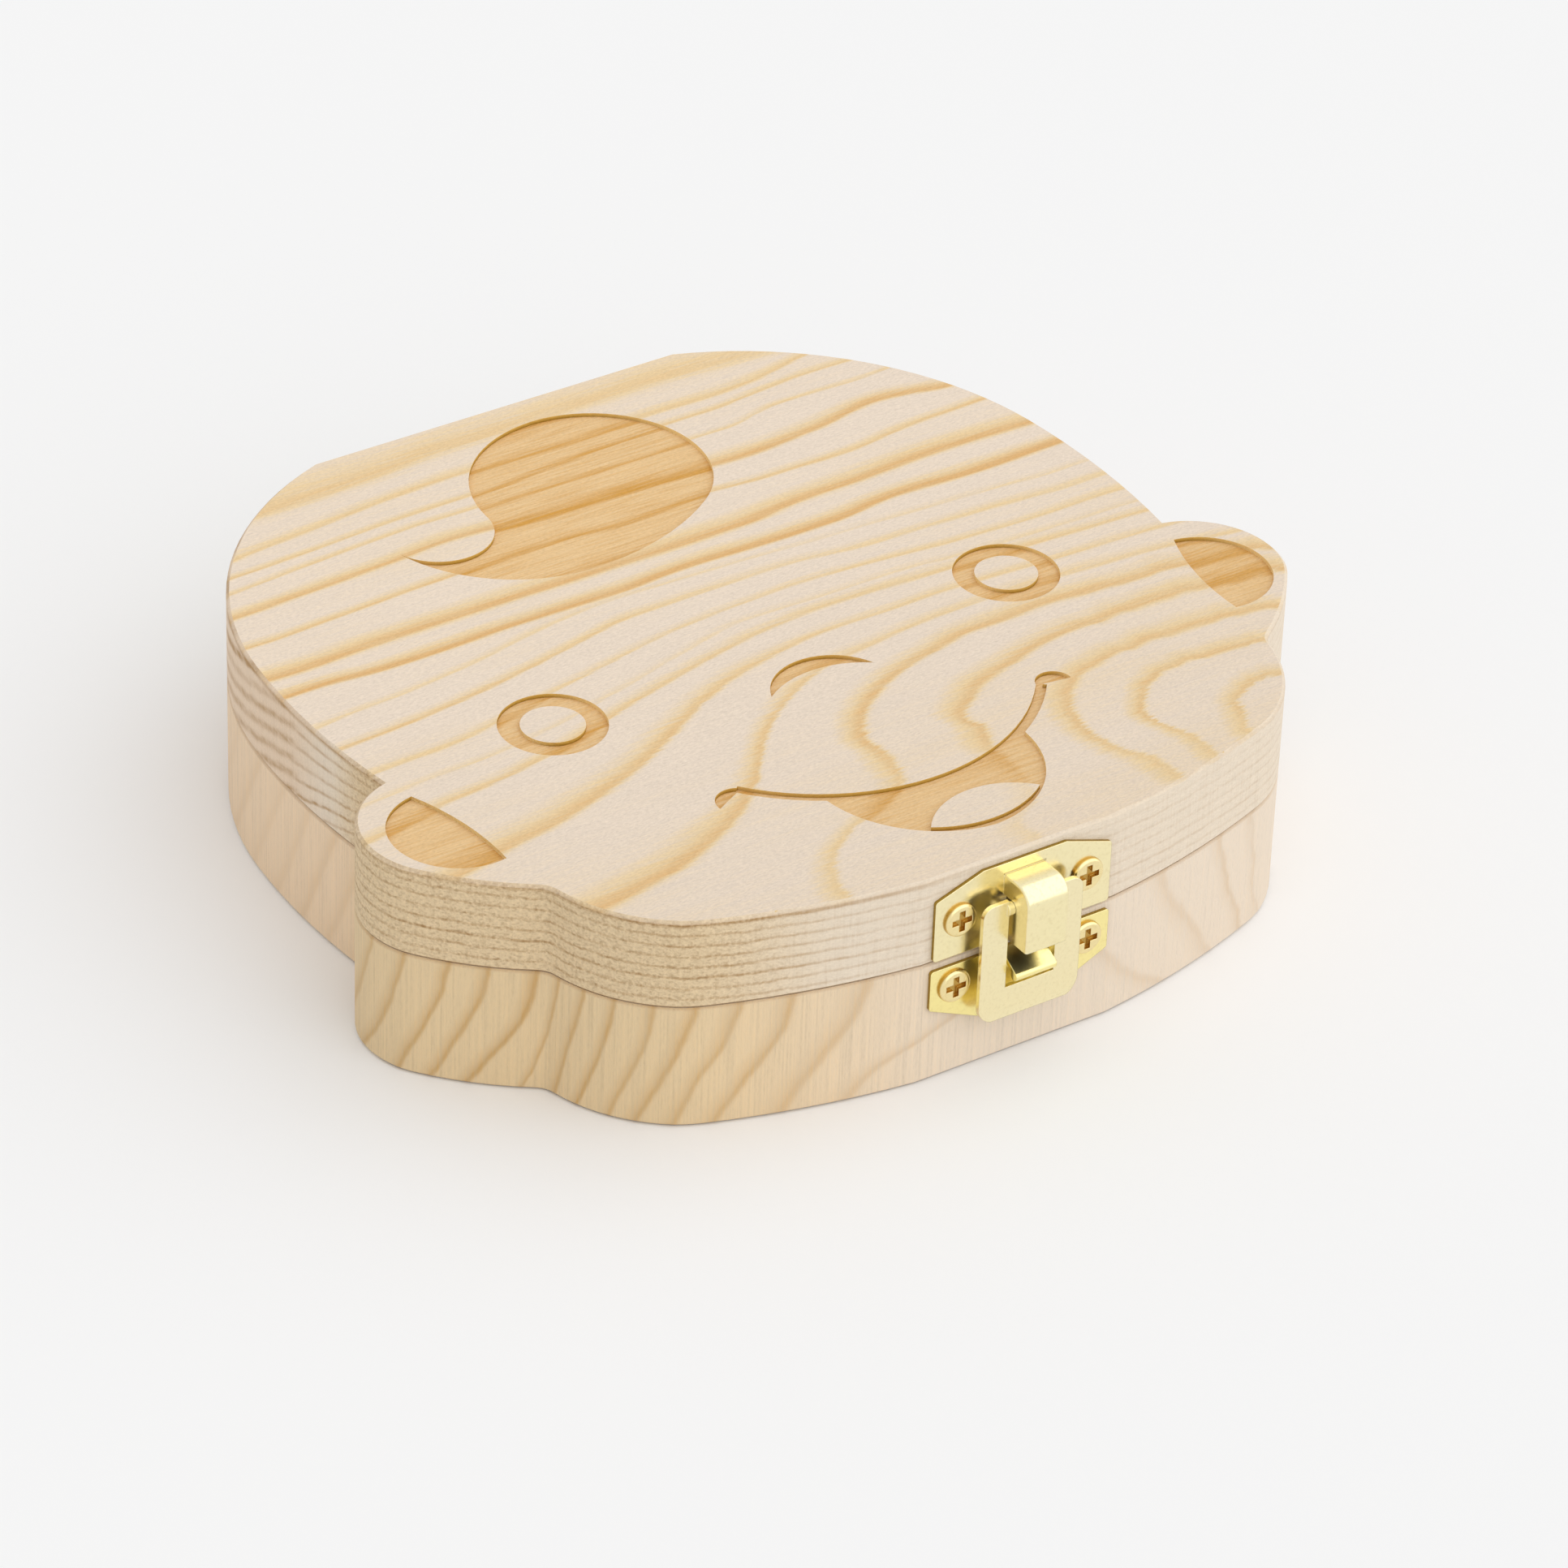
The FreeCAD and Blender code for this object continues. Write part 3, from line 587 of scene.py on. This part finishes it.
# %% Lid pine: the walls
WALL_CREAM = srgb(234, 219, 198)
EAR_CREAM = srgb(233, 208, 168)
CROWN_CREAM = srgb(233, 209, 182)
WALL_BROWN = srgb(178, 140, 92)
STROKE_TONE, STROKE_WAVES = 0.42, (4.0, 4.0, 0.2)
FLECK_TONE, FLECK_WAVES = 1.5, (2.2, 2.2, 3.2)
TORN_END, TORN_BACK = (-40.0, -20.0), (-5.0, 3.0)
CROWN_FROM = (0.0, 12.0)

strokes = grain(tree, place, STROKE_WAVES, detail=2.0)
flecks = grain(tree, place, FLECK_WAVES, detail=4.0)
torn = product(tree, fade(tree, place[0], *TORN_END), fade(tree, place[1], *TORN_BACK))
wall_tone = total(tree, lid_wall_lines(tree, place), scaled(tree, strokes, STROKE_TONE),
                  product(tree, torn, flecks, FLECK_TONE))
wall_plain = blend(tree, rise(tree, place[1], *CROWN_FROM), WALL_CREAM, CROWN_CREAM)
wall_side = blend(tree, wall_tone, blend(tree, torn, wall_plain, EAR_CREAM), WALL_BROWN)
print("walls of the lid:", len(tree.nodes), "nodes so far")

# %% [markdown]
# Then the engraving. Its floors are toasted along the same bands and hairs as the face. The cut walls that
# look to the latch, towards the lamp, keep their burnt colour, and those that look away from it, into their
# own shade, are painted a pale honey, a painted light that lifts that shade. A surface counts as wall or
# floor by how much it looks upward.

# %% Lid pine: the engraving
HONEY = srgb(236, 202, 152)
AMBER = srgb(210, 153, 64)
SCORCH_TOP = srgb(220, 182, 96)
# The foot of a cut wall: partly burn, partly painted shade in the corner of the cut.
BURN_AND_SHADE_LOW = srgb(152, 112, 14)
# Pale honey for cut walls that face away from the lamp: a painted light over their shade.
SHADED_WALL_PAINTED_LIGHT = srgb(250, 220, 156)
HAIR_WAVES, HAIR_SHIFT, HAIR_TOAST = (0.15, 3.2, 3.2), 7.0, 1.6
AMBER_FROM = (-0.45, 1.15)
LEVEL_FROM = (0.6, 0.9)
FLOOR_FALL, WALL_FALL = 0.5, 1.1
TOWARD_LAMP_RIGHT, TOWARD_LAMP_FRONT, TOWARD_LAMP_FROM = 0.25, -0.85, (-0.3, 0.8)

hairs = grain(tree, place, HAIR_WAVES, detail=3.0, shift=HAIR_SHIFT)
cut_floor = blend(tree, rise(tree, scaled(tree, hairs, HAIR_TOAST, late), *AMBER_FROM), HONEY, AMBER)
upward = facing[2]
wall = fade(tree, calc(tree, "ABSOLUTE", upward), *LEVEL_FROM)
carved = inside_the_face(tree, place)
fall = scaled(tree, place[2], -1 / ENGRAVED, LID_TOP / ENGRAVED)
cut = product(tree, carved, calc(tree, "GREATER_THAN", fall, FLOOR_FALL), rise(tree, upward, *LEVEL_FROM))
cut_wall = product(tree, carved, wall, calc(tree, "LESS_THAN", fall, WALL_FALL))
# How much a cut wall faces the lamp; walls that face away get the painted light.
toward_lamp = scaled(tree, facing[0], TOWARD_LAMP_RIGHT, scaled(tree, facing[1], TOWARD_LAMP_FRONT))
# Darker towards the foot of the wall: partly burn, partly painted shade.
cut_wall_burn_light_and_shade = blend(tree, fall, SCORCH_TOP, BURN_AND_SHADE_LOW)
# Walls facing away from the lamp are painted pale: a painted light instead of the burn.
cut_wall_burn_light_and_shade = blend(tree, rise(tree, toward_lamp, *TOWARD_LAMP_FROM), SHADED_WALL_PAINTED_LIGHT, cut_wall_burn_light_and_shade)
print("engraving:", len(tree.nodes), "nodes so far")

# %% [markdown]
# The four colours are laid over one another: face, walls, cut floors, cut walls. Along the seam between lid
# and base the foot of the lid turns brown, partly dust and partly painted shade in the gap. Specks and
# fibres make the whole a little lighter and darker from point to point, the chin end is a shade deeper than
# the crown, and the torn flecks get a relief that catches the light.

# %% Lid pine: all together
# Seam brown: partly dust, partly painted shade in the gap between lid and base.
SEAM_DUST_AND_SHADE = srgb(176, 132, 54)
LID_DUST_AND_SHADE, SEAM_SHADE_REACH = 0.55, 0.3
LEVEL = 0.95
DEEPER_ALONG, DEEPER = (-50.0, 20.0), 0.955
FACE_SPECKS, WALL_SPECKS = 0.45, 0.25
FLECK_SHADE, FIBRE_SHADE = -0.4, 0.13
LID_ROUGHNESS, WOOD_GLOSS = 0.62, 0.25
SPECK_RELIEF, LID_RELIEF = 0.25, 0.3

colour = blend(tree, wall, plain_top, wall_side)
colour = blend(tree, cut, colour, cut_floor)
colour = blend(tree, cut_wall, colour, cut_wall_burn_light_and_shade)
# Browner towards the lid's foot at the seam: partly dust, partly painted shade.
seam_dust_and_shade = product(tree, fade(tree, place[2], LID_FOOT, LID_FOOT + SEAM_SHADE_REACH),
               calc(tree, "GREATER_THAN", upward, -LEVEL), LID_DUST_AND_SHADE)
colour = blend(tree, seam_dust_and_shade, colour, SEAM_DUST_AND_SHADE)
torn_flecks = product(tree, wall, torn, flecks)
speckled = product(tree, specks, along(tree, wall, FACE_SPECKS, WALL_SPECKS))
speckled = scaled(tree, torn_flecks, FLECK_SHADE, speckled)
shade = scaled(tree, fibres, FIBRE_SHADE, ramp(tree, place[1], *DEEPER_ALONG, DEEPER, 1.0))
tree.links.new(shaded(tree, colour, total(tree, speckled, shade)), shader.inputs["Base Color"])
shader.inputs["Roughness"].default_value = LID_ROUGHNESS
shader.inputs["Specular IOR Level"].default_value = WOOD_GLOSS
roughen(tree, shader, scaled(tree, specks, SPECK_RELIEF, torn_flecks), LID_RELIEF)
print("lid finish:", lid_pine.name, len(tree.nodes), "nodes")

# %% [markdown]
# The base is another board, and its fibres run aslant, from the left of the latch to the right of the
# hinges. So its front walls cut the rings open: steep lines that lean to the right below the left ear and
# cheek, and lean back, fainter, right of the latch. Each is drawn too: its strength, its width, and its
# place across the fibres at five heights, from just under the seam down to the table.

# %% Year lines of the base
DRAWN_HEIGHT = 15.0
BASE_SPAN = 90.0
base_profile = (0.0, 0.25, 0.8, 1.0, 0.76, 0.54, 0.38, 0.27, 0.18, 0.08, 0.0)
base_lines = (
    (0.44, 1.5, (-21.7, -22.8, -24.0, -25.4, -26.8)),
    (0.55, 1.6, (-17.4, -18.4, -19.6, -21.2, -23.4)),
    (0.62, 1.7, (-12.3, -13.2, -14.8, -16.5, -18.2)),
    (0.62, 1.7, (-7.9, -8.7, -10.4, -12.4, -14.3)),
    (0.70, 1.9, (-2.8, -3.5, -5.3, -7.7, -10.1)),
    (0.51, 1.0, (-0.1, -0.8, -1.5, -2.8, -4.3)),
    (0.58, 1.3, (3.2, 2.2, 1.3, 0.4, -0.6)),
    (0.62, 1.4, (6.8, 6.1, 5.1, 3.8, 2.3)),
    (0.51, 1.5, (11.1, 10.5, 9.3, 7.8, 6.4)),
    (0.55, 1.9, (15.5, 14.4, 12.9, 11.2, 9.4)),
    (0.47, 2.0, (19.6, 18.4, 16.6, 15.0, 13.5)),
    (0.47, 2.2, (24.5, 23.6, 21.5, 19.4, 17.4)),
    (0.36, 3.0, (31.1, 29.9, 27.7, 25.5, 23.7)),
    (0.29, 3.0, (46.0, 43.0, 38.6, 32.5, 29.4)),
    (0.20, 2.0, (47.6, 49.4, 51.2, 53.0, 55.4)),
    (0.20, 1.4, (54.7, 55.6, 56.6, 57.6, 58.6)),
    (0.25, 0.8, (58.6, 59.1, 59.6, 60.1, 60.6)),
    (0.18, 0.5, (60.7, 60.8, 61.0, 61.2, 61.3)),
)
print("year lines of the base:", len(base_lines))

# %% [markdown]
# The drawn lines belong to the front walls. Inside the box and at the back the same lines would run on dead
# straight, so there they are bent by a slow noise. Past the last of them, at the back left, plain rings
# follow at an even pitch. The picture doesn't show that side of the box, so a formula will do.

# %% The base's late wood
ACROSS = (0.6, -0.8)
BEND, BEND_WAVES = 14.0, (0.03, 0.03, 0.01)
BEND_FROM_LEFT, BEND_FROM_FRONT = (-48.0, -25.0), (-46.0, -25.0)
BASE_SWAY, BASE_SWAY_WAVES = 0.9, (0.3, 0.3, 0.2)
PLAIN_RING, PLAIN_LEAN, PLAIN_LEVEL = 4.6, 0.4, 0.2
PLAIN_END = (-30.0, -25.0)
plain_profile = (0.0, 0.0, 0.02, 0.05, 0.12, 0.22, 0.4, 0.72, 1.0, 0.5, 0.0)


def base_late_wood(tree, place):
    x, y, z = place
    bent = product(tree, rise(tree, x, *BEND_FROM_LEFT), rise(tree, y, *BEND_FROM_FRONT),
                   grain(tree, place, BEND_WAVES, detail=2.0, size=BEND))
    sway = total(tree, bent, grain(tree, place, BASE_SWAY_WAVES, detail=3.0, size=BASE_SWAY))
    over = total(tree, scaled(tree, x, ACROSS[0], sway), scaled(tree, y, ACROSS[1]))
    down = scaled(tree, z, -1 / DRAWN_HEIGHT, 1.0)
    bands = []
    for strength, width, places in base_lines:
        line = drawn(tree, down, [spot / BASE_SPAN / 2 + 0.5 for spot in places])
        past = calc(tree, "SUBTRACT", scaled(tree, line, 2 * BASE_SPAN, -BASE_SPAN), over)
        bands.append(band(tree, past, width, strength, base_profile))
    upright = calc(tree, "DIVIDE", over, PLAIN_RING)
    count = scaled(tree, down, PLAIN_LEAN * DRAWN_HEIGHT / PLAIN_RING, upright)
    plain = product(tree, drawn(tree, calc(tree, "FRACT", count), plain_profile), own_strength(tree, count))
    bands.append(product(tree, plain, fade(tree, over, *PLAIN_END), PLAIN_LEVEL))
    return most_of(tree, *bands)


print("plain rings every", PLAIN_RING, "mm")

# %% [markdown]
# The base's colour changes along its wall: straw below the left ear, a warmer cream behind it, and a
# pinkish cream right of the latch. Three materials side by side would meet in hard borders, so one finish
# slides from one colour to the next by the place along the wall.

# %% Base pine: colours
BASE_CREAM = srgb(231, 215, 195)
BASE_LEFT = srgb(238, 212, 180)
BASE_EAR = srgb(225, 200, 159)
EAR_RIGHT_END, EAR_BACK_END = (-46.0, -2.0), (-14.0, 2.0)
LEFT_END = (-50.0, 0.0)
TOP_EAR, TOP_LATE = 0.25, 0.6

base_pine, tree, shader = new_finish("base_pine")
place, facing = millimetres(tree)
wall = fade(tree, calc(tree, "ABSOLUTE", facing[2]), *LEVEL_FROM)
to_left = product(tree, wall, fade(tree, place[0], *LEFT_END))
to_ear = product(tree, fade(tree, place[0], *EAR_RIGHT_END), fade(tree, place[1], *EAR_BACK_END),
                 along(tree, wall, TOP_EAR, 1.0))
plain = blend(tree, to_ear, blend(tree, to_left, BASE_CREAM, BASE_LEFT), BASE_EAR)
print("base colours:", len(tree.nodes), "nodes so far")

# %% [markdown]
# Over these go the year lines, and the fine upright strokes that the shaper left as it followed the
# outline, clearest on the left. The strokes comb the lines, and with a fine speckle they also make the wood
# lighter and darker. A line on a flat face shows less than on a wall, because there the cut runs with the
# fibres.

# %% Base pine: lines and strokes
BASE_BROWN = srgb(190, 148, 86)
COMB_WAVES, COMB_BREAKS = (3.4, 3.4, 0.06), 0.9
COMB_TONES, COMB_SHADES = (0.5, 0.3), (0.5, 0.2)
GRIT_WAVES, GRIT_TONE, GRIT_SHADE = (4.0, 4.0, 1.2), 0.3, 0.2
BASE_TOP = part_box("base_board")[1][2] / MM
BASE_DUST_AND_SHADE, SEAM_SHADE_GAP = 0.2, 0.05
BASE_ROUGHNESS, BASE_RELIEF = 0.65, 0.06

combing = grain(tree, place, COMB_WAVES, detail=4.0)
grit = grain(tree, place, GRIT_WAVES, detail=3.0)
late = product(tree, base_late_wood(tree, place), scaled(tree, combing, COMB_BREAKS, 1.0),
               along(tree, wall, TOP_LATE, 1.0))
tone = scaled(tree, combing, ramp(tree, place[0], *PAST_LATCH, *COMB_TONES), late)
colour = blend(tree, scaled(tree, grit, GRIT_TONE, tone), plain, BASE_BROWN)
# The same seam brown on the base's top edge: partly dust, partly painted shade in the gap.
seam_dust_and_shade = product(tree, rise(tree, place[2], BASE_TOP - SEAM_SHADE_GAP - SEAM_SHADE_REACH, BASE_TOP - SEAM_SHADE_GAP),
               calc(tree, "LESS_THAN", facing[2], LEVEL), BASE_DUST_AND_SHADE)
colour = blend(tree, seam_dust_and_shade, colour, SEAM_DUST_AND_SHADE)
shade = scaled(tree, product(tree, combing, wall), ramp(tree, place[0], *PAST_LATCH, *COMB_SHADES), 1.0)
tree.links.new(shaded(tree, colour, scaled(tree, grit, GRIT_SHADE, shade)), shader.inputs["Base Color"])
shader.inputs["Roughness"].default_value = BASE_ROUGHNESS
shader.inputs["Specular IOR Level"].default_value = WOOD_GLOSS
roughen(tree, shader, total(tree, combing, grit), BASE_RELIEF)
print("base finish:", base_pine.name, len(tree.nodes), "nodes")

# %% [markdown]
# The latch, hinges and screws are steel with a bright brass plating. Plating is metal all the way to
# its surface, so the shader is metallic and the look comes from what it mirrors. A low roughness with a
# faint cloudy change keeps it from looking like a computer's perfect mirror. Stamped and turned metal never
# has a truly sharp edge either. A bevel on the mesh would do, but this is a tenth of a millimetre, so a
# Bevel node turns the light over the edges, and each catches a bright thread.

# %% Brass: the metal
WORN_EDGE, EDGE_SAMPLES = 0.14, 6
HAZE_WAVES = (0.5, 0.5, 0.5)
SCRATCH_WAVES, SCRATCH_DEPTH = (2.0, 2.0, 14.0), 0.002
BRIGHT, SATIN = (0.18, 0.3), (0.2, 0.32)


def brass(name, roughness):
    finish, tree, shader = new_finish(name)
    place, facing = millimetres(tree)
    low, high = roughness
    haze = grain(tree, place, HAZE_WAVES, detail=3.0)
    shader.inputs["Metallic"].default_value = 1.0
    tree.links.new(scaled(tree, haze, high - low, (high + low) / 2), shader.inputs["Roughness"])
    bump = roughen(tree, shader, grain(tree, place, SCRATCH_WAVES, detail=2.0), SCRATCH_DEPTH)
    edge = tree.nodes.new("ShaderNodeBevel")
    edge.samples = EDGE_SAMPLES
    edge.inputs["Radius"].default_value = WORN_EDGE * MM
    tree.links.new(edge.outputs[0], bump.inputs["Normal"])
    return finish, tree, shader, place, facing


print("brass roughness:", BRIGHT, "and", SATIN)

# %% [markdown]
# Fingers leave faint dull spots on plating, about half a millimetre across. `plated` lays a coat of any
# colour and lets a little tarnish through in such spots. The hinges and the lever have one coat all over.

# %% Brass: the plating
TARNISH = srgb(190, 164, 92)
HINGE_COAT = srgb(244, 228, 172)
LEVER_COAT = srgb(248, 236, 193)
SPOT_WAVES, SPOT_FROM, SPOT_LEVEL = (2.4, 2.4, 2.4), (-0.05, 0.3), 0.2


def plated(tree, shader, place, coat):
    spots = rise(tree, grain(tree, place, SPOT_WAVES, detail=4.0), *SPOT_FROM)
    spotted = blend(tree, scaled(tree, spots, SPOT_LEVEL), coat, TARNISH)
    tree.links.new(spotted, shader.inputs["Base Color"])


hinge_brass, tree, shader, place, facing = brass("hinge_brass", SATIN)
plated(tree, shader, place, HINGE_COAT)
lever_brass, tree, shader, place, facing = brass("lever_brass", BRIGHT)
plated(tree, shader, place, LEVER_COAT)
print("plain brass finishes:", hinge_brass.name, lever_brass.name)

# %% [markdown]
# The plates were punched out, and their sheared edges are a dull olive: partly bare metal without the
# bright skin, partly a painted dark reflection. The fine line where the claw was folded out of the upper
# plate is darker still, a painted shade in that crease, and so is the hollow of the claw, a painted shade
# inside it.
# The lower plate is a deeper yellow, a painted reflection of the wood and the lever. A material for each of
# these faces would have to be picked face by face, so the finish works out where they lie, from the boxes
# of the pieces and the thickness of the sheet.

# %% Brass: the latch plates
COAT = srgb(249, 237, 190)
# The lower plate's deeper yellow is a painted reflection of the wood and the lever.
LOWER_PAINTED_REFLECTION = srgb(254, 240, 168)
# Olive for the edges: partly bare metal, partly a painted dark reflection.
SHEARED_AND_REFLECTION_OLIVE = srgb(176, 150, 72)
# Dark colour for a painted shade in the claw's crease and inside the claw.
CREASE_PAINTED_SHADE = srgb(140, 114, 50)
SHEET = 0.45
A_HAIR = 0.03
EDGE_ON = (0.3, 0.8)
CLAW_HALF, CLAW_TOP = 2.75, 24.6
FOLD_SHADE_SPAN, FOLD_SHADE_MORE, FOLD_SHADE_LEVEL = (-0.1, 0.18), 0.1, 0.5
CLAW_SHADE_SPAN = (-8.0, -1.0)
lower_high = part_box("latch_lower_plate")[1]
PLATE_FACE = lower_high[1] / MM - SHEET
CLAW_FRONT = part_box("latch_upper_plate")[0][1] / MM + SHEET

plate_brass, tree, shader, place, facing = brass("plate_brass", BRIGHT)
lower_plate_reflection = calc(tree, "LESS_THAN", place[2], lower_high[2] / MM)
in_sheet = calc(tree, "GREATER_THAN", place[1], PLATE_FACE + A_HAIR)
# Edge-on faces within the sheet: partly bare metal, partly painted dark reflection.
sheared_and_reflection = product(tree, in_sheet, fade(tree, calc(tree, "ABSOLUTE", facing[1]), *EDGE_ON))
aside = calc(tree, "ABSOLUTE", place[0])
above_claw = calc(tree, "SUBTRACT", place[2], CLAW_TOP)
# A painted shade along the crease where the claw is folded out of the plate.
fold_painted_shade = product(tree, between(tree, place[1], PLATE_FACE - A_HAIR, PLATE_FACE + A_HAIR),
                 calc(tree, "LESS_THAN", aside, CLAW_HALF + FOLD_SHADE_MORE),
                 between(tree, above_claw, *FOLD_SHADE_SPAN), FOLD_SHADE_LEVEL)
# A painted shade inside the claw's hollow.
hollow_painted_shade = product(tree, calc(tree, "LESS_THAN", aside, CLAW_HALF - SHEET + A_HAIR),
                 between(tree, above_claw, *CLAW_SHADE_SPAN),
                 calc(tree, "GREATER_THAN", place[1], CLAW_FRONT - A_HAIR))
# Painted reflection: the lower plate is a deeper yellow.
coat = blend(tree, lower_plate_reflection, COAT, LOWER_PAINTED_REFLECTION)
coat = blend(tree, sheared_and_reflection, coat, SHEARED_AND_REFLECTION_OLIVE)
# Lay the painted shade of crease and hollow.
coat = blend(tree, most_of(tree, fold_painted_shade, hollow_painted_shade), coat, CREASE_PAINTED_SHADE)
plated(tree, shader, place, coat)
print("plate face at", round(PLATE_FACE, 2), "mm, claw's front at", round(CLAW_FRONT, 2), "mm")

# %% [markdown]
# A screwdriver's cross is pressed into each head, and its inside is a dark bronze: partly dirt, partly
# painted shade in the recess. The cross is in the mesh already, and only its colour is missing: it is the
# part within a small circle round the screw's middle, below the face of the head. The screws stand in
# mirrored pairs, so one of each pair gives both places. Their rims are bronze too, a painted shade where
# the head stands above the plate.

# %% Brass: the latch's screws
SCREW_COAT = srgb(246, 228, 172)
# Dark bronze: in the crosses partly dirt and partly painted shade, on the rims painted shade.
DIRT_AND_SHADE_BRONZE = srgb(192, 154, 80)
CROSS_REACH = 1.5
SUNK_FROM, SUNK_TO = 0.02, 0.15
RIM_SHADE_FACING = (0.1, 0.7)
HEAD_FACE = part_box("latch_screw_1")[0][1] / MM

screw_brass, tree, shader, place, facing = brass("screw_brass", SATIN)
aside = calc(tree, "ABSOLUTE", place[0])
crosses = []
for name in ("latch_screw_1", "latch_screw_3"):
    low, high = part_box(name)
    middle = (abs(low[0] + high[0]) / 2 / MM, (low[2] + high[2]) / 2 / MM)
    crosses.append(within(tree, aside, place[2], middle, CROSS_REACH))
    print(name, "and its twin at", [round(v, 2) for v in middle], "mm")
# The cross below the head's face: partly dirt, partly painted shade in the recess.
sunk_dirt_and_shade = rise(tree, place[1], HEAD_FACE + SUNK_FROM, HEAD_FACE + SUNK_TO)
cross_dirt_and_shade = product(tree, most_of(tree, *crosses), sunk_dirt_and_shade)
# Painted shade on the head's rim, where it stands above the plate.
rim_painted_shade = fade(tree, calc(tree, "ABSOLUTE", facing[1]), *RIM_SHADE_FACING)
plated(tree, shader, place, blend(tree, most_of(tree, cross_dirt_and_shade, rim_painted_shade), SCREW_COAT, DIRT_AND_SHADE_BRONZE))

# %% [markdown]
# The hinges' screws lie flush in their leaves, at the back of the box, so there all that shows below the
# face of the head is the cross. Its depth alone tells it from the rest.

# %% Brass: the hinges' screws
HINGE_SCREW_COAT = srgb(242, 222, 160)
hinge_screws = [name for name in nodes if name.startswith("hinge") and "screw" in name]
FLUSH_FACE = max(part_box(name)[1][1] for name in hinge_screws) / MM

hinge_screw_brass, tree, shader, place, facing = brass("hinge_screw_brass", SATIN)
# The cross is dark bronze: partly dirt, partly painted shade in the recess.
sunk_dirt_and_shade = fade(tree, place[1], FLUSH_FACE - SUNK_TO, FLUSH_FACE - SUNK_FROM)
plated(tree, shader, place, blend(tree, sunk_dirt_and_shade, HINGE_SCREW_COAT, DIRT_AND_SHADE_BRONZE))
print("hinge screws:", len(hinge_screws), "flush at", round(FLUSH_FACE, 2), "mm")

# %% [markdown]
# Each solid keeps its mesh and gets its finish in its material slot. Picking them by hand is slow and easy
# to get wrong, so a short function reads the finish from the name: two boards, the latch's pieces, and the
# hinges' pieces.

# %% Dress the pieces


def finish_for(name):
    of_latch = name.startswith("latch")
    if name == "lid_board":
        return lid_pine
    if name == "base_board":
        return base_pine
    if name == "latch_lever":
        return lever_brass
    if "screw" in name:
        return screw_brass if of_latch else hinge_screw_brass
    return plate_brass if of_latch else hinge_brass


for name, piece in nodes.items():
    piece.data.materials.clear()
    piece.data.materials.append(finish_for(name))
print("dressed:", len(nodes))
